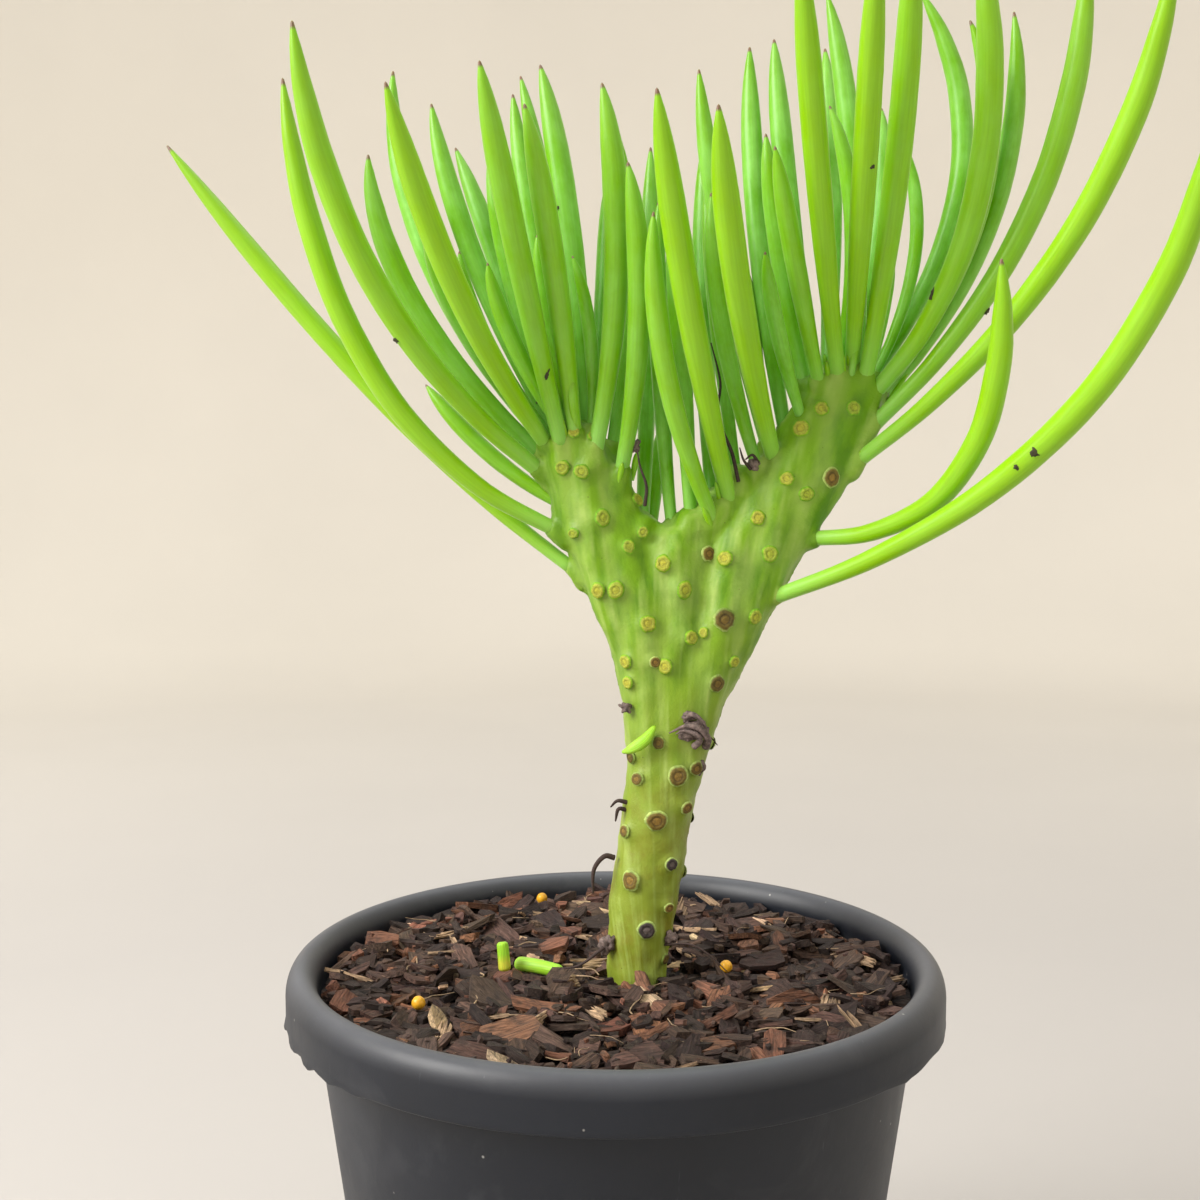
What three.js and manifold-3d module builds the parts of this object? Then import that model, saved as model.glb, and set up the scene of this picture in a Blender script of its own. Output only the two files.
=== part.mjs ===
// A crested chalk stick growing in a round nursery pot with a rolled rim.
// Millimetres, +Z up. The origin is the centre of the pot's underside and the plant's flat side faces -Y.
import * as THREE from "three";
import { mergeVertices } from "three/addons/utils/BufferGeometryUtils.js";
import Module from "manifold-3d";

const wasm = await Module();
wasm.setup();

// Pot
const POT_HEIGHT = 125;
const POT_BASE_RADIUS = 48;
const POT_WALL_TOP_RADIUS = 63.5;
const POT_RIM_RADIUS = 70;
const POT_RIM_DROP = 10.5;
const RIM_ROLL_WIDTH = 6.6;
const RIM_FLARE = 7.5;
const POT_WALL = 1.8;
const LIP_BEAD = 0.54;
const POT_FLOOR = 2.4;
const POT_BASE_CORNER = 1.5;
const POT_SEGMENTS = 40;
const RIM_ARC_STEPS = 8;
const DRAIN_COUNT = 6;
const DRAIN_RADIUS = 4.5;
const DRAIN_RING_RADIUS = 36;
const DRAIN_SIDES = 12;

// Fill
const MULCH_BELOW_RIM = 4.8;
const MULCH_DEPTH = 9;
const MULCH_RIPPLE = 0.7;
const MULCH_RINGS = 5;
const RIPPLE_ACROSS = 0.21;
const RIPPLE_DEEP = 0.17;
const RIPPLE_SLANT = 0.11;
const RIPPLE_SHIFT = 1.3;

// Fits
const SEAT_GAP = 0.3;
const LEAF_GAP = 0.45;

// Stem: where its foot meets the mulch, and how deep it is buried
const FOOT_X = 4;
const STEM_BURIED = 28;
const STEM_SIDES = 16;
const STEM_RINGS = 9;
const STEM_GIRTH = 1;
const TRUNK_HALF_DEPTH = 6.9;
const CREST_HALF_DEPTH = 6.2;
const CREST_START = 30;
const CREST_END = 90;

// Leaves
const LEAF_RADIUS = 2.45;
const LEAF_SIDES = 8;
const LEAF_ROOT_DEPTH = 5;
const LEAF_TRIM_STEP = 0.25;
const LEAF_REACH = 1;
const LEAF_BEND_DEPTH = 0.7;
const ROOT_INSET = 1;
const NEAR_COLOR_FROM = 10;
const NEAR_COLOR_OVER = 50;

// Easing crowded leaves apart: how often, how far each time, and how much goes sideways and upwards
const SPREAD_PASSES = 240;
const SPREAD_SAMPLES = 14;
const SPREAD_RATE = 0.12;
const SPREAD_SIDEWAYS = 0.55;
const SPREAD_UPRIGHT = 0.2;
const SPREAD_NUDGE = 0.15;
const THINNING_PASSES = 12;
const THINNING_RATE = 0.96;

// Loose bits on the mulch
const PRILL_RADIUS = 1.4;
const PRILL_SIDES = 8;
const PRILL_ROWS = 6;
const FRAGMENT_RADIUS = 1.65;
const FRAGMENT_LENGTH = 10;
const STUB_LENGTH = 6;
const STUB_RADIUS = 1.4;
const CUT_END = 0.9;
const FAR_END = 0.85;
const PRESSED_IN = 0.35;
const TUBE_START = [-21.5, 2.5];
const TUBE_END = [TUBE_START[0] + FRAGMENT_LENGTH, -2.5];
const TUBE_RISE = -0.3;
const STUB_START = [-23.8, -2];
const STUB_END = [-24.4, -1];

// The withered scale on the trunk
const SCALE_HALF_SIZE = [4, 2.4, 2.6];
const SCALE_SIDES = 10;
const SCALE_ROWS = 6;
const SCALE_TILT = -12;
const SCALE_X = 11.6;
const SCALE_HEIGHT = 54;
const SCALE_SEAT_SHARE = 0.78;

// Sizes that follow from those above
const MULCH_TOP = POT_HEIGHT - MULCH_BELOW_RIM;
const MIX_TOP = MULCH_TOP - MULCH_DEPTH;
const RIM_ROLL_BASE = POT_HEIGHT - POT_RIM_DROP / 2;
const FLARE_FOOT = RIM_ROLL_BASE - RIM_FLARE;
const RIM_INNER_RADIUS = POT_RIM_RADIUS - RIM_ROLL_WIDTH;

// How a leaf swells from its root and closes at its point: [share of the length, share of the radius].
const LEAF_PROFILE = [
  [0, 0],
  [0, 0.62],
  [0.16, 0.74],
  [0.36, 0.92],
  [0.56, 1],
  [0.74, 0.96],
  [0.87, 0.72],
  [0.95, 0.42],
  [1, 0],
];

// Leaves, left to right over each part of the crest, in millimetres right of and above the stem's foot:
// [root x, root z, bend x, bend z, tip x, tip y, tip z, place from front (-1) to back (1), girth].
const LEFT_LOBE_LEAVES = [
  [-11, 86, -47, 109, -100, 8, 178, 0.2, 0.95],
  [-17, 96, -64, 113, -70, -15, 186, -0.3, 1.05],
  [-21, 109, -60, 137, -64, -35, 191, -0.3, 1.1],
  [-23, 115, -54, 142, -54, -10, 172, -0.1, 0.95],
  [-20, 116, -54, 154, -52, 14, 195, 0.9, 0.95],
  [-20, 117, -38, 141, -46, -42, 178, -0.9, 1.05],
  [-21, 119, -46, 146, -43, 2, 165, 0.3, 0.85],
  [-19, 120, -39, 157, -43, 6, 186, 0.6, 0.95],
  [-18, 120, -31, 159, -39, 16, 179, 1, 0.95],
  [-17, 118, -25, 156, -30, -30, 185, -0.9, 1.05],
  [-17, 120, -28, 149, -30, -4, 174, 0, 0.85],
  [-15, 120, -23, 161, -26, 10, 189, 0.6, 0.9],
  [-13, 119, -19, 139, -20, -10, 156, -0.3, 0.75],
  [-13, 119, -18, 165, -25, 22, 196, 1, 0.9],
  [-13, 117, -16, 153, -22, -22, 179, -0.9, 1],
  [-10, 118, -13, 164, -20, 6, 194, 0.1, 1.1],
  [-9, 116, -7, 136, -13, -8, 152, -0.4, 0.6],
  [-8, 116, -6, 146, -5, 16, 175, 0.9, 0.95],
  [-8, 114, 0, 150, -7, -18, 184, -0.8, 1.05],
];
const VALLEY_LEAVES = [
  [-5, 111, 2, 147, -4, 2, 180, 0.3, 0.85],
  [-3, 107, 4, 138, -2, -22, 168, -0.6, 0.95],
  [2, 101, 4, 142, 4, 24, 181, 0.8, 0.95],
  [8, 96, 4, 131, 5, 2, 165, 0.2, 0.8],
  [12, 96, 10, 129, 7, -6, 161, -0.2, 0.85],
  [15, 101, 2, 127, 3, -25, 158, -0.9, 0.9],
  [17, 101, 14, 146, 16, 20, 183, 0.9, 0.95],
  [19, 105, 8, 142, 3, -38, 178, -0.8, 1.1],
  [25, 111, 15, 138, 15, -12, 164, -0.4, 0.8],
  [28, 114, 16, 156, 13, -2, 191, 0.5, 0.9],
  [28, 114, 17, 142, 14, -42, 174, -0.9, 1.1],
];
const RIGHT_LOBE_LEAVES = [
  [32, 118, 25, 158, 25, 14, 200, 0.9, 1],
  [36, 125, 29, 147, 26, -10, 176, 0, 0.85],
  [38, 127, 31, 148, 26, -26, 170, -0.7, 0.85],
  [38, 127, 32, 168, 30, 12, 201, 0.8, 1],
  [42, 130, 33, 163, 28, -45, 201, -0.9, 1],
  [41, 129, 45, 170, 43, 26, 203, 0.9, 1],
  [43, 131, 49, 159, 39, -8, 182, 0, 0.75],
  [47, 132, 48, 177, 40, 4, 208, 0.4, 0.95],
  [46, 131, 42, 168, 41, -50, 202, -0.9, 1],
  [47, 131, 51, 171, 49, -40, 207, -1, 1.05],
  [46, 131, 57, 162, 55, 22, 189, 1, 1],
  [51, 129, 66, 156, 54, 0, 179, 0.2, 0.6],
  [52, 127, 76, 153, 63, -30, 209, -0.9, 1.1],
  [52, 125, 83, 163, 67, -8, 199, 0, 0.9],
  [51, 129, 85, 172, 61, 12, 211, 1, 0.95],
  [50, 121, 84, 155, 77, -4, 202, 0.7, 0.9],
  [49, 117, 89, 153, 85, -25, 208, -0.5, 1.05],
  [45, 109, 91, 144, 91, -55, 198, -0.3, 1.05],
  [37, 94, 74, 91, 66, -40, 147, -0.2, 1],
  [30, 82, 96, 107, 93, -72, 173, -0.5, 1.1],
];

const mix = THREE.MathUtils.lerp;
const clamp = THREE.MathUtils.clamp;
const radians = THREE.MathUtils.degToRad;

// ---------------------------------------------------------------- solids

function toSolid(geometry) {
  const bare = geometry.clone();
  bare.deleteAttribute("normal");
  bare.deleteAttribute("uv");
  const merged = mergeVertices(bare, 1e-4);
  return new wasm.Manifold(
    new wasm.Mesh({
      numProp: 3,
      vertProperties: new Float32Array(merged.attributes.position.array),
      triVerts: new Uint32Array(merged.index.array),
    }),
  );
}

function toGeometry(solid) {
  const mesh = solid.getMesh();
  const geometry = new THREE.BufferGeometry();
  geometry.setAttribute("position", new THREE.BufferAttribute(mesh.vertProperties, mesh.numProp));
  geometry.setIndex(new THREE.BufferAttribute(mesh.triVerts, 1));
  geometry.computeVertexNormals();
  return geometry;
}

function largestPiece(solid) {
  const pieces = solid.decompose();
  return pieces.reduce((best, piece) => (piece.volume() > best.volume() ? piece : best));
}

// A tapered body of the given outline, bent along a curve. The outline is [share of the length, radius] pairs
// that start and end on the axis, and flatten gives the depth (along Y) as a share of the width.
function bentBody(curve, outline, sides, flatten = () => 1) {
  const profile = outline.map(([share, radius]) => new THREE.Vector2(radius, share));
  const geometry = new THREE.LatheGeometry(profile, sides);
  const position = geometry.attributes.position;
  const centre = new THREE.Vector3();
  const ahead = new THREE.Vector3();
  const depthAxis = new THREE.Vector3();
  const widthAxis = new THREE.Vector3();
  for (let i = 0; i < position.count; i += 1) {
    const share = clamp(position.getY(i), 0, 1);
    curve.getPointAt(share, centre);
    curve.getTangentAt(share, ahead);
    depthAxis.set(0, 1, 0).addScaledVector(ahead, -ahead.y).normalize();
    widthAxis.crossVectors(ahead, depthAxis);
    centre.addScaledVector(widthAxis, position.getX(i));
    centre.addScaledVector(depthAxis, position.getZ(i) * flatten(share));
    position.setXYZ(i, centre.x, centre.y, centre.z);
  }
  return toSolid(geometry);
}

// ---------------------------------------------------------------- pot

// The wall's outer radius: a straight taper from the base, then a short flare up into the rolled rim.
function wallRadius(height) {
  if (height <= FLARE_FOOT) {
    return mix(POT_BASE_RADIUS, POT_WALL_TOP_RADIUS, height / FLARE_FOOT);
  }
  const flared = Math.min((height - FLARE_FOOT) / RIM_FLARE, 1);
  return mix(POT_WALL_TOP_RADIUS, RIM_INNER_RADIUS + POT_WALL, flared);
}

function arc(centreX, centreZ, radiusX, radiusZ, fromDegrees, toDegrees) {
  const points = [];
  for (let step = 0; step <= RIM_ARC_STEPS; step += 1) {
    const angle = radians(mix(fromDegrees, toDegrees, step / RIM_ARC_STEPS));
    points.push(new THREE.Vector2(centreX + radiusX * Math.cos(angle), centreZ + radiusZ * Math.sin(angle)));
  }
  return points;
}

// The rim rolls over the wall's top and hangs outside it as a lip that is open underneath.
function potSolid() {
  const lipFoot = POT_HEIGHT - POT_RIM_DROP;
  const lipInner = POT_RIM_RADIUS - POT_WALL;
  const rollCentre = POT_RIM_RADIUS - RIM_ROLL_WIDTH / 2;
  const rollRadius = RIM_ROLL_WIDTH / 2;
  const rollHeight = POT_HEIGHT - RIM_ROLL_BASE;
  const profile = [
    new THREE.Vector2(0, 0),
    new THREE.Vector2(POT_BASE_RADIUS - POT_BASE_CORNER, 0),
    new THREE.Vector2(POT_BASE_RADIUS, POT_BASE_CORNER),
    new THREE.Vector2(POT_WALL_TOP_RADIUS, FLARE_FOOT),
    ...arc(rollCentre, RIM_ROLL_BASE, rollRadius - POT_WALL, rollHeight - POT_WALL, 180, 0),
    new THREE.Vector2(lipInner, lipFoot),
    new THREE.Vector2(POT_RIM_RADIUS - POT_WALL / 2, lipFoot - LIP_BEAD),
    new THREE.Vector2(POT_RIM_RADIUS - LIP_BEAD / 3, lipFoot + LIP_BEAD),
    ...arc(rollCentre, RIM_ROLL_BASE, rollRadius, rollHeight, 0, 180),
    new THREE.Vector2(POT_WALL_TOP_RADIUS - POT_WALL, FLARE_FOOT),
    new THREE.Vector2(wallRadius(POT_FLOOR) - POT_WALL, POT_FLOOR),
    new THREE.Vector2(0, POT_FLOOR),
  ];
  const shell = new THREE.LatheGeometry(profile, POT_SEGMENTS);
  shell.rotateX(Math.PI / 2);
  let solid = toSolid(shell);
  for (let hole = 0; hole < DRAIN_COUNT; hole += 1) {
    const angle = ((hole + 0.5) / DRAIN_COUNT) * 2 * Math.PI;
    const drill = new THREE.CylinderGeometry(DRAIN_RADIUS, DRAIN_RADIUS, 4 * POT_FLOOR, DRAIN_SIDES);
    drill.rotateX(Math.PI / 2);
    drill.translate(DRAIN_RING_RADIUS * Math.cos(angle), DRAIN_RING_RADIUS * Math.sin(angle), 0);
    solid = solid.subtract(toSolid(drill));
  }
  return solid;
}

// ---------------------------------------------------------------- fill

function fillRadius(height) {
  return wallRadius(height) - POT_WALL - SEAT_GAP;
}

function pottingMixSolid(stemSocket) {
  const floor = POT_FLOOR + SEAT_GAP;
  const profile = [
    new THREE.Vector2(0, floor),
    new THREE.Vector2(fillRadius(floor), floor),
    new THREE.Vector2(fillRadius(MIX_TOP), MIX_TOP),
    new THREE.Vector2(0, MIX_TOP),
  ];
  const body = new THREE.LatheGeometry(profile, POT_SEGMENTS);
  body.rotateX(Math.PI / 2);
  return toSolid(body).subtract(stemSocket);
}

// The height of the mulch's top: a gentle, uneven ripple, lower at the pot's wall.
function mulchHeight(x, y) {
  const crossed = Math.sin(RIPPLE_ACROSS * x + RIPPLE_SHIFT) * Math.cos(RIPPLE_DEEP * y);
  const slanted = Math.sin(RIPPLE_SLANT * (x - y));
  return MULCH_TOP + (MULCH_RIPPLE / 2) * (crossed + slanted);
}

function mulchSolid(stemSocket, pressedBits) {
  const under = MIX_TOP + SEAT_GAP;
  const profile = [new THREE.Vector2(0, under), new THREE.Vector2(fillRadius(under), under)];
  if (FLARE_FOOT > under) {
    profile.push(new THREE.Vector2(fillRadius(FLARE_FOOT), FLARE_FOOT));
  }
  for (let ring = MULCH_RINGS; ring >= 0; ring -= 1) {
    profile.push(new THREE.Vector2((fillRadius(MULCH_TOP - MULCH_RIPPLE) * ring) / MULCH_RINGS, MULCH_TOP));
  }
  const body = new THREE.LatheGeometry(profile, POT_SEGMENTS);
  body.rotateX(Math.PI / 2);
  const position = body.attributes.position;
  for (let i = 0; i < position.count; i += 1) {
    if (position.getZ(i) > MULCH_TOP - MULCH_RIPPLE) {
      position.setZ(i, mulchHeight(position.getX(i), position.getY(i)));
    }
  }
  return toSolid(body).subtract(stemSocket).subtract(wasm.Manifold.union(pressedBits));
}

// ---------------------------------------------------------------- stem

// Each limb is [x, height above the foot, half width] along its middle line. The limbs share the trunk.
const LEFT_LIMB = [
  [0.5, -STEM_BURIED, 4],
  [0.6, -12, 5.6],
  [0.8, 4, 6.6],
  [2.6, 20, 7.4],
  [4.8, 34, 7.4],
  [6.2, 48, 7.6],
  [4.8, 62, 7.6],
  [1, 78, 8.2],
  [-5.5, 94, 9],
  [-11.2, 107, 8.8],
  [-14.4, 119, 8.8],
];
const RIGHT_LIMB = [
  [5, 30, 6.2],
  [7.4, 44, 7.2],
  [11.4, 60, 8],
  [18.6, 77, 9],
  [27, 95, 9.8],
  [35.8, 108, 9.2],
  [42.2, 120, 9.2],
  [45.8, 132, 7.8],
];
// The web between the limbs.
const WEB = [
  [7.2, 50, 6],
  [7.8, 64, 8],
  [8.2, 80, 9.4],
  [8.2, 97.5, 8.6],
];

// Half the stem's depth at a height above the foot: round at the trunk, flatter in the crest.
function stemHalfDepth(height) {
  const share = clamp((height - CREST_START) / (CREST_END - CREST_START), 0, 1);
  return STEM_GIRTH * mix(TRUNK_HALF_DEPTH, CREST_HALF_DEPTH, share);
}

// How each limb rounds off at its end: [share of its length, share of its width].
const LIMB_DOME_START = 0.88;
const LIMB_DOME = [
  [0.95, 0.86],
  [0.985, 0.55],
];

function limbSolid(limb, grow) {
  const points = limb.map(([x, height]) => new THREE.Vector3(FOOT_X + x, 0, MULCH_TOP + height));
  const curve = new THREE.CatmullRomCurve3(points);
  const widths = new THREE.SplineCurve(limb.map(([, height, half]) => new THREE.Vector2(height, half)));
  const halfWidth = (share) => STEM_GIRTH * widths.getPoint(share).y;
  const outline = [[0, 0]];
  for (let ring = 0; ring <= STEM_RINGS; ring += 1) {
    const share = (LIMB_DOME_START * ring) / STEM_RINGS;
    outline.push([share, halfWidth(share) + grow]);
  }
  for (const [share, fullness] of LIMB_DOME) {
    outline.push([share, halfWidth(share) * fullness + grow]);
  }
  outline.push([1, 0]);
  const flatten = (share) => {
    const height = curve.getPointAt(share).z - MULCH_TOP;
    return (stemHalfDepth(height) + grow) / (halfWidth(share) + grow);
  };
  return bentBody(curve, outline, STEM_SIDES, flatten);
}

function stemSolid(grow) {
  return wasm.Manifold.union([LEFT_LIMB, RIGHT_LIMB, WEB].map((limb) => limbSolid(limb, grow)));
}

// ---------------------------------------------------------------- leaves

// A leaf's middle line runs from a root inside the stem, past a bend point, to its tip.
function leafGuide([rootX, rootZ, bendX, bendZ, tipX, tipY, tipZ, side, girth]) {
  const rootY = side * (CREST_HALF_DEPTH - ROOT_INSET);
  const reach = (from, to) => from + (to - from) * LEAF_REACH;
  const root = new THREE.Vector3(FOOT_X + rootX, rootY, MULCH_TOP + rootZ);
  const bend = new THREE.Vector3(
    FOOT_X + reach(rootX, bendX),
    reach(rootY, mix(rootY, tipY, LEAF_BEND_DEPTH)),
    MULCH_TOP + reach(rootZ, bendZ),
  );
  const tip = new THREE.Vector3(
    FOOT_X + reach(rootX, tipX),
    reach(rootY, tipY),
    MULCH_TOP + reach(rootZ, tipZ),
  );
  const inward = new THREE.Vector3().subVectors(root, bend).setLength(LEAF_ROOT_DEPTH);
  return { root: root.add(inward), bend, tip, radius: LEAF_RADIUS * girth };
}

function leafRadiusAt(share) {
  for (let i = 2; i < LEAF_PROFILE.length; i += 1) {
    const [end, endRadius] = LEAF_PROFILE[i];
    const [start, startRadius] = LEAF_PROFILE[i - 1];
    if (share <= end) {
      return mix(startRadius, endRadius, (share - start) / (end - start));
    }
  }
  return 0;
}

function sampleLeaf(leaf) {
  const curve = new THREE.QuadraticBezierCurve3(leaf.root, leaf.bend, leaf.tip);
  const samples = [];
  for (let step = 0; step <= SPREAD_SAMPLES; step += 1) {
    const share = step / SPREAD_SAMPLES;
    samples.push({ share, at: curve.getPoint(share), radius: leaf.radius * leafRadiusAt(share) });
  }
  return samples;
}

// Leaves crowd at the crest, so each pair that would touch is eased apart, mostly front to back.
function spreadLeaves(leaves) {
  const gap = new THREE.Vector3();
  for (let pass = 0; pass < SPREAD_PASSES; pass += 1) {
    const sampled = leaves.map(sampleLeaf);
    for (let a = 0; a < leaves.length; a += 1) {
      for (let b = a + 1; b < leaves.length; b += 1) {
        for (const p of sampled[a]) {
          for (const q of sampled[b]) {
            gap.subVectors(q.at, p.at);
            const overlap = p.radius + q.radius + LEAF_GAP - gap.length();
            if (overlap > 0) {
              gap.x *= SPREAD_SIDEWAYS;
              gap.z *= SPREAD_UPRIGHT;
              gap.y += gap.y < 0 ? -SPREAD_NUDGE : SPREAD_NUDGE;
              gap.normalize();
              easeLeaf(leaves[a], p.share, gap, -SPREAD_RATE * overlap);
              easeLeaf(leaves[b], q.share, gap, SPREAD_RATE * overlap);
            }
          }
        }
      }
    }
  }
}

function easeLeaf(leaf, share, direction, amount) {
  leaf.root.addScaledVector(direction, amount * (1 - share) ** 2);
  leaf.bend.addScaledVector(direction, amount * 2 * share * (1 - share));
  leaf.tip.addScaledVector(direction, amount * share ** 2);
  leaf.root.y = clamp(leaf.root.y, ROOT_INSET - CREST_HALF_DEPTH, CREST_HALF_DEPTH - ROOT_INSET);
}

// A leaf starts where its whole width first stands clear of the stem.
function leafSolid(leaf, stemSocket) {
  const whole = new THREE.QuadraticBezierCurve3(leaf.root, leaf.bend, leaf.tip);
  const length = whole.getLength();
  let solid;
  for (let trim = 0; trim < length / 2; trim += LEAF_TRIM_STEP) {
    const start = trim / length;
    const outline = LEAF_PROFILE.map(([share, radius]) => {
      const kept = mix(start, 1, share);
      return [kept, radius === 0 ? 0 : leaf.radius * leafRadiusAt(kept)];
    });
    solid = bentBody(whole, outline, LEAF_SIDES);
    if (solid.intersect(stemSocket).isEmpty()) {
      break;
    }
  }
  return solid;
}

// Leaves too thick for the room they have are thinned and grown again until none meet.
function growLeaves(leaves, stemSocket) {
  const grown = leaves.map((leaf) => leafSolid(leaf, stemSocket));
  for (let pass = 0; pass < THINNING_PASSES; pass += 1) {
    const crowded = new Set();
    for (let a = 0; a < grown.length; a += 1) {
      for (let b = a + 1; b < grown.length; b += 1) {
        if (!grown[a].intersect(grown[b]).isEmpty()) {
          crowded.add(a).add(b);
        }
      }
    }
    for (const index of crowded) {
      leaves[index].radius *= THINNING_RATE;
      grown[index] = leafSolid(leaves[index], stemSocket);
    }
    if (crowded.size === 0) {
      break;
    }
  }
  return grown;
}

// ---------------------------------------------------------------- loose bits on the mulch

function restingHeight(x, y, radius) {
  return mulchHeight(x, y) + radius - PRESSED_IN;
}

function prill(x, y, grow) {
  const ball = new THREE.SphereGeometry(PRILL_RADIUS + grow, PRILL_SIDES, PRILL_ROWS);
  ball.translate(x, y, restingHeight(x, y, PRILL_RADIUS));
  return toSolid(ball);
}

function brokenLeaf(from, to, lift, radius, grow) {
  const height = restingHeight(from[0], from[1], radius);
  const start = new THREE.Vector3(from[0], from[1], height);
  const end = new THREE.Vector3(to[0], to[1], height + lift);
  const ahead = new THREE.Vector3().subVectors(end, start).setLength(grow);
  const curve = new THREE.LineCurve3(start.sub(ahead), end.add(ahead));
  const outline = [
    [0, 0],
    [0, radius * CUT_END + grow],
    [0.5, radius + grow],
    [1, radius * FAR_END + grow],
    [1, 0],
  ];
  return bentBody(curve, outline, LEAF_SIDES);
}

const BITS = {
  leaf_fragment_tube: (grow) => brokenLeaf(TUBE_START, TUBE_END, TUBE_RISE, FRAGMENT_RADIUS, grow),
  leaf_fragment_stub: (grow) => brokenLeaf(STUB_START, STUB_END, STUB_LENGTH, STUB_RADIUS, grow),
  fertiliser_prill_1: (grow) => prill(-40, -22, grow),
  fertiliser_prill_2: (grow) => prill(-18, 55, grow),
  fertiliser_prill_3: (grow) => prill(24, 0, grow),
};

// A dry purple-grey leaf scale that still clings to the trunk's front.
function witheredScaleSolid(stemSocket) {
  const plate = new THREE.SphereGeometry(1, SCALE_SIDES, SCALE_ROWS);
  plate.scale(...SCALE_HALF_SIZE);
  plate.rotateY(radians(SCALE_TILT));
  const seatY = -stemHalfDepth(SCALE_HEIGHT) * SCALE_SEAT_SHARE;
  plate.translate(FOOT_X + SCALE_X, seatY, MULCH_TOP + SCALE_HEIGHT);
  return largestPiece(toSolid(plate).subtract(stemSocket));
}

// ---------------------------------------------------------------- assembly

function finish(color, roughness) {
  return new THREE.MeshStandardMaterial({ color, roughness, metalness: 0 });
}

const plant = new THREE.Group();

function addPiece(name, solid, color, roughness) {
  const mesh = new THREE.Mesh(toGeometry(solid), finish(color, roughness));
  mesh.name = name;
  plant.add(mesh);
}

const stemSocket = stemSolid(SEAT_GAP);
const pressedBits = Object.values(BITS).map((make) => make(SEAT_GAP));

addPiece("pot", potSolid(), 0x3c3f45, 0.42);
addPiece("potting_mix", pottingMixSolid(stemSocket), 0x33241b, 0.95);
addPiece("bark_mulch", mulchSolid(stemSocket, pressedBits), 0x4b3026, 0.85);
addPiece("stem", stemSolid(0), 0x9fbb62, 0.5);

const leaves = [...LEFT_LOBE_LEAVES, ...VALLEY_LEAVES, ...RIGHT_LOBE_LEAVES].map(leafGuide);
spreadLeaves(leaves);
growLeaves(leaves, stemSocket).forEach((solid, index) => {
  const name = `leaf_${String(index + 1).padStart(2, "0")}`;
  const nearness = clamp((NEAR_COLOR_FROM - leaves[index].tip.y) / NEAR_COLOR_OVER, 0, 1);
  const color = new THREE.Color(0x8fd670).lerp(new THREE.Color(0x86cf1c), nearness);
  addPiece(name, solid, color, 0.45);
});

addPiece("withered_scale", witheredScaleSolid(stemSocket), 0x6f5a5c, 0.8);
addPiece("leaf_fragment_tube", BITS.leaf_fragment_tube(0), 0x8fd51f, 0.4);
addPiece("leaf_fragment_stub", BITS.leaf_fragment_stub(0), 0xc9cf2a, 0.45);
addPiece("fertiliser_prill_1", BITS.fertiliser_prill_1(0), 0xd9a01c, 0.35);
addPiece("fertiliser_prill_2", BITS.fertiliser_prill_2(0), 0xd9a01c, 0.35);
addPiece("fertiliser_prill_3", BITS.fertiliser_prill_3(0), 0xd9a01c, 0.35);

export default plant;
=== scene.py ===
import math
import random

import bmesh
import bpy
import numpy as np
from mathutils import Matrix, Vector, noise
from mathutils.bvhtree import BVHTree


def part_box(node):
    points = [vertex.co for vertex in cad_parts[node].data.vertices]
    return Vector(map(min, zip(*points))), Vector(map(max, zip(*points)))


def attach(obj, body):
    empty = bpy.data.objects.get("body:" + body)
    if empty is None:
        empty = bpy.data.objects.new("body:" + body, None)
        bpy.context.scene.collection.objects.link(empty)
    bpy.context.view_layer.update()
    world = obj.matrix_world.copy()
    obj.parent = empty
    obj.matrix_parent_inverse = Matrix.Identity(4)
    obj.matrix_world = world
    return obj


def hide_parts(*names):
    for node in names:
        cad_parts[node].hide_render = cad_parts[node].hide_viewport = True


bl_info = {
    "name": "Potted Chalk Stick",
    "version": (1, 0, 0),
    "blender": (4, 5, 0),
    "location": "3D View > Sidebar > Chalk Stick",
    "description": "Dresses a crested chalk stick in its nursery pot, from leaves to bark mulch",
    "category": "Object",
}

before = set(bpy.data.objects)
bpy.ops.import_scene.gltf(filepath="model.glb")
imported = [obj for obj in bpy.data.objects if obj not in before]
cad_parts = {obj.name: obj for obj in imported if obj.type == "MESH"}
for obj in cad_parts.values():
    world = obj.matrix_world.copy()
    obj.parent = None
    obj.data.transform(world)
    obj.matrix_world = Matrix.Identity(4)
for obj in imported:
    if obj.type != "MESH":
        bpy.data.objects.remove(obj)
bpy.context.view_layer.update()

MM = 0.001
UP = Vector((0, 0, 1))

POT_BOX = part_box("pot")
MULCH_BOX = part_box("bark_mulch")
RIM_TOP = POT_BOX[1][2]
RIM_RADIUS = POT_BOX[1][0]
FILL_RADIUS = MULCH_BOX[1][0]
FOOT = Vector((4 * MM, 0, RIM_TOP - 4.8 * MM))

LEAF_NODES = sorted(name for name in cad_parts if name[:5] == "leaf_" and name[5:].isdigit())
PRILL_NODES = sorted(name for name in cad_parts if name.startswith("fertiliser_prill"))


def colour_prop(name, description, default):
    return bpy.props.FloatVectorProperty(
        name=name, description=description, default=default, size=3, min=0, max=1, subtype="COLOR"
    )


def length_prop(name, description, default):
    return bpy.props.FloatProperty(
        name=name, description=description, default=default, min=0, unit="LENGTH", precision=5
    )


def count_prop(name, description, default, least=0):
    return bpy.props.IntProperty(name=name, description=description, default=default, min=least)


def power_prop(name, description, default):
    return bpy.props.FloatProperty(name=name, description=description, default=default, min=0, unit="POWER")


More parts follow.
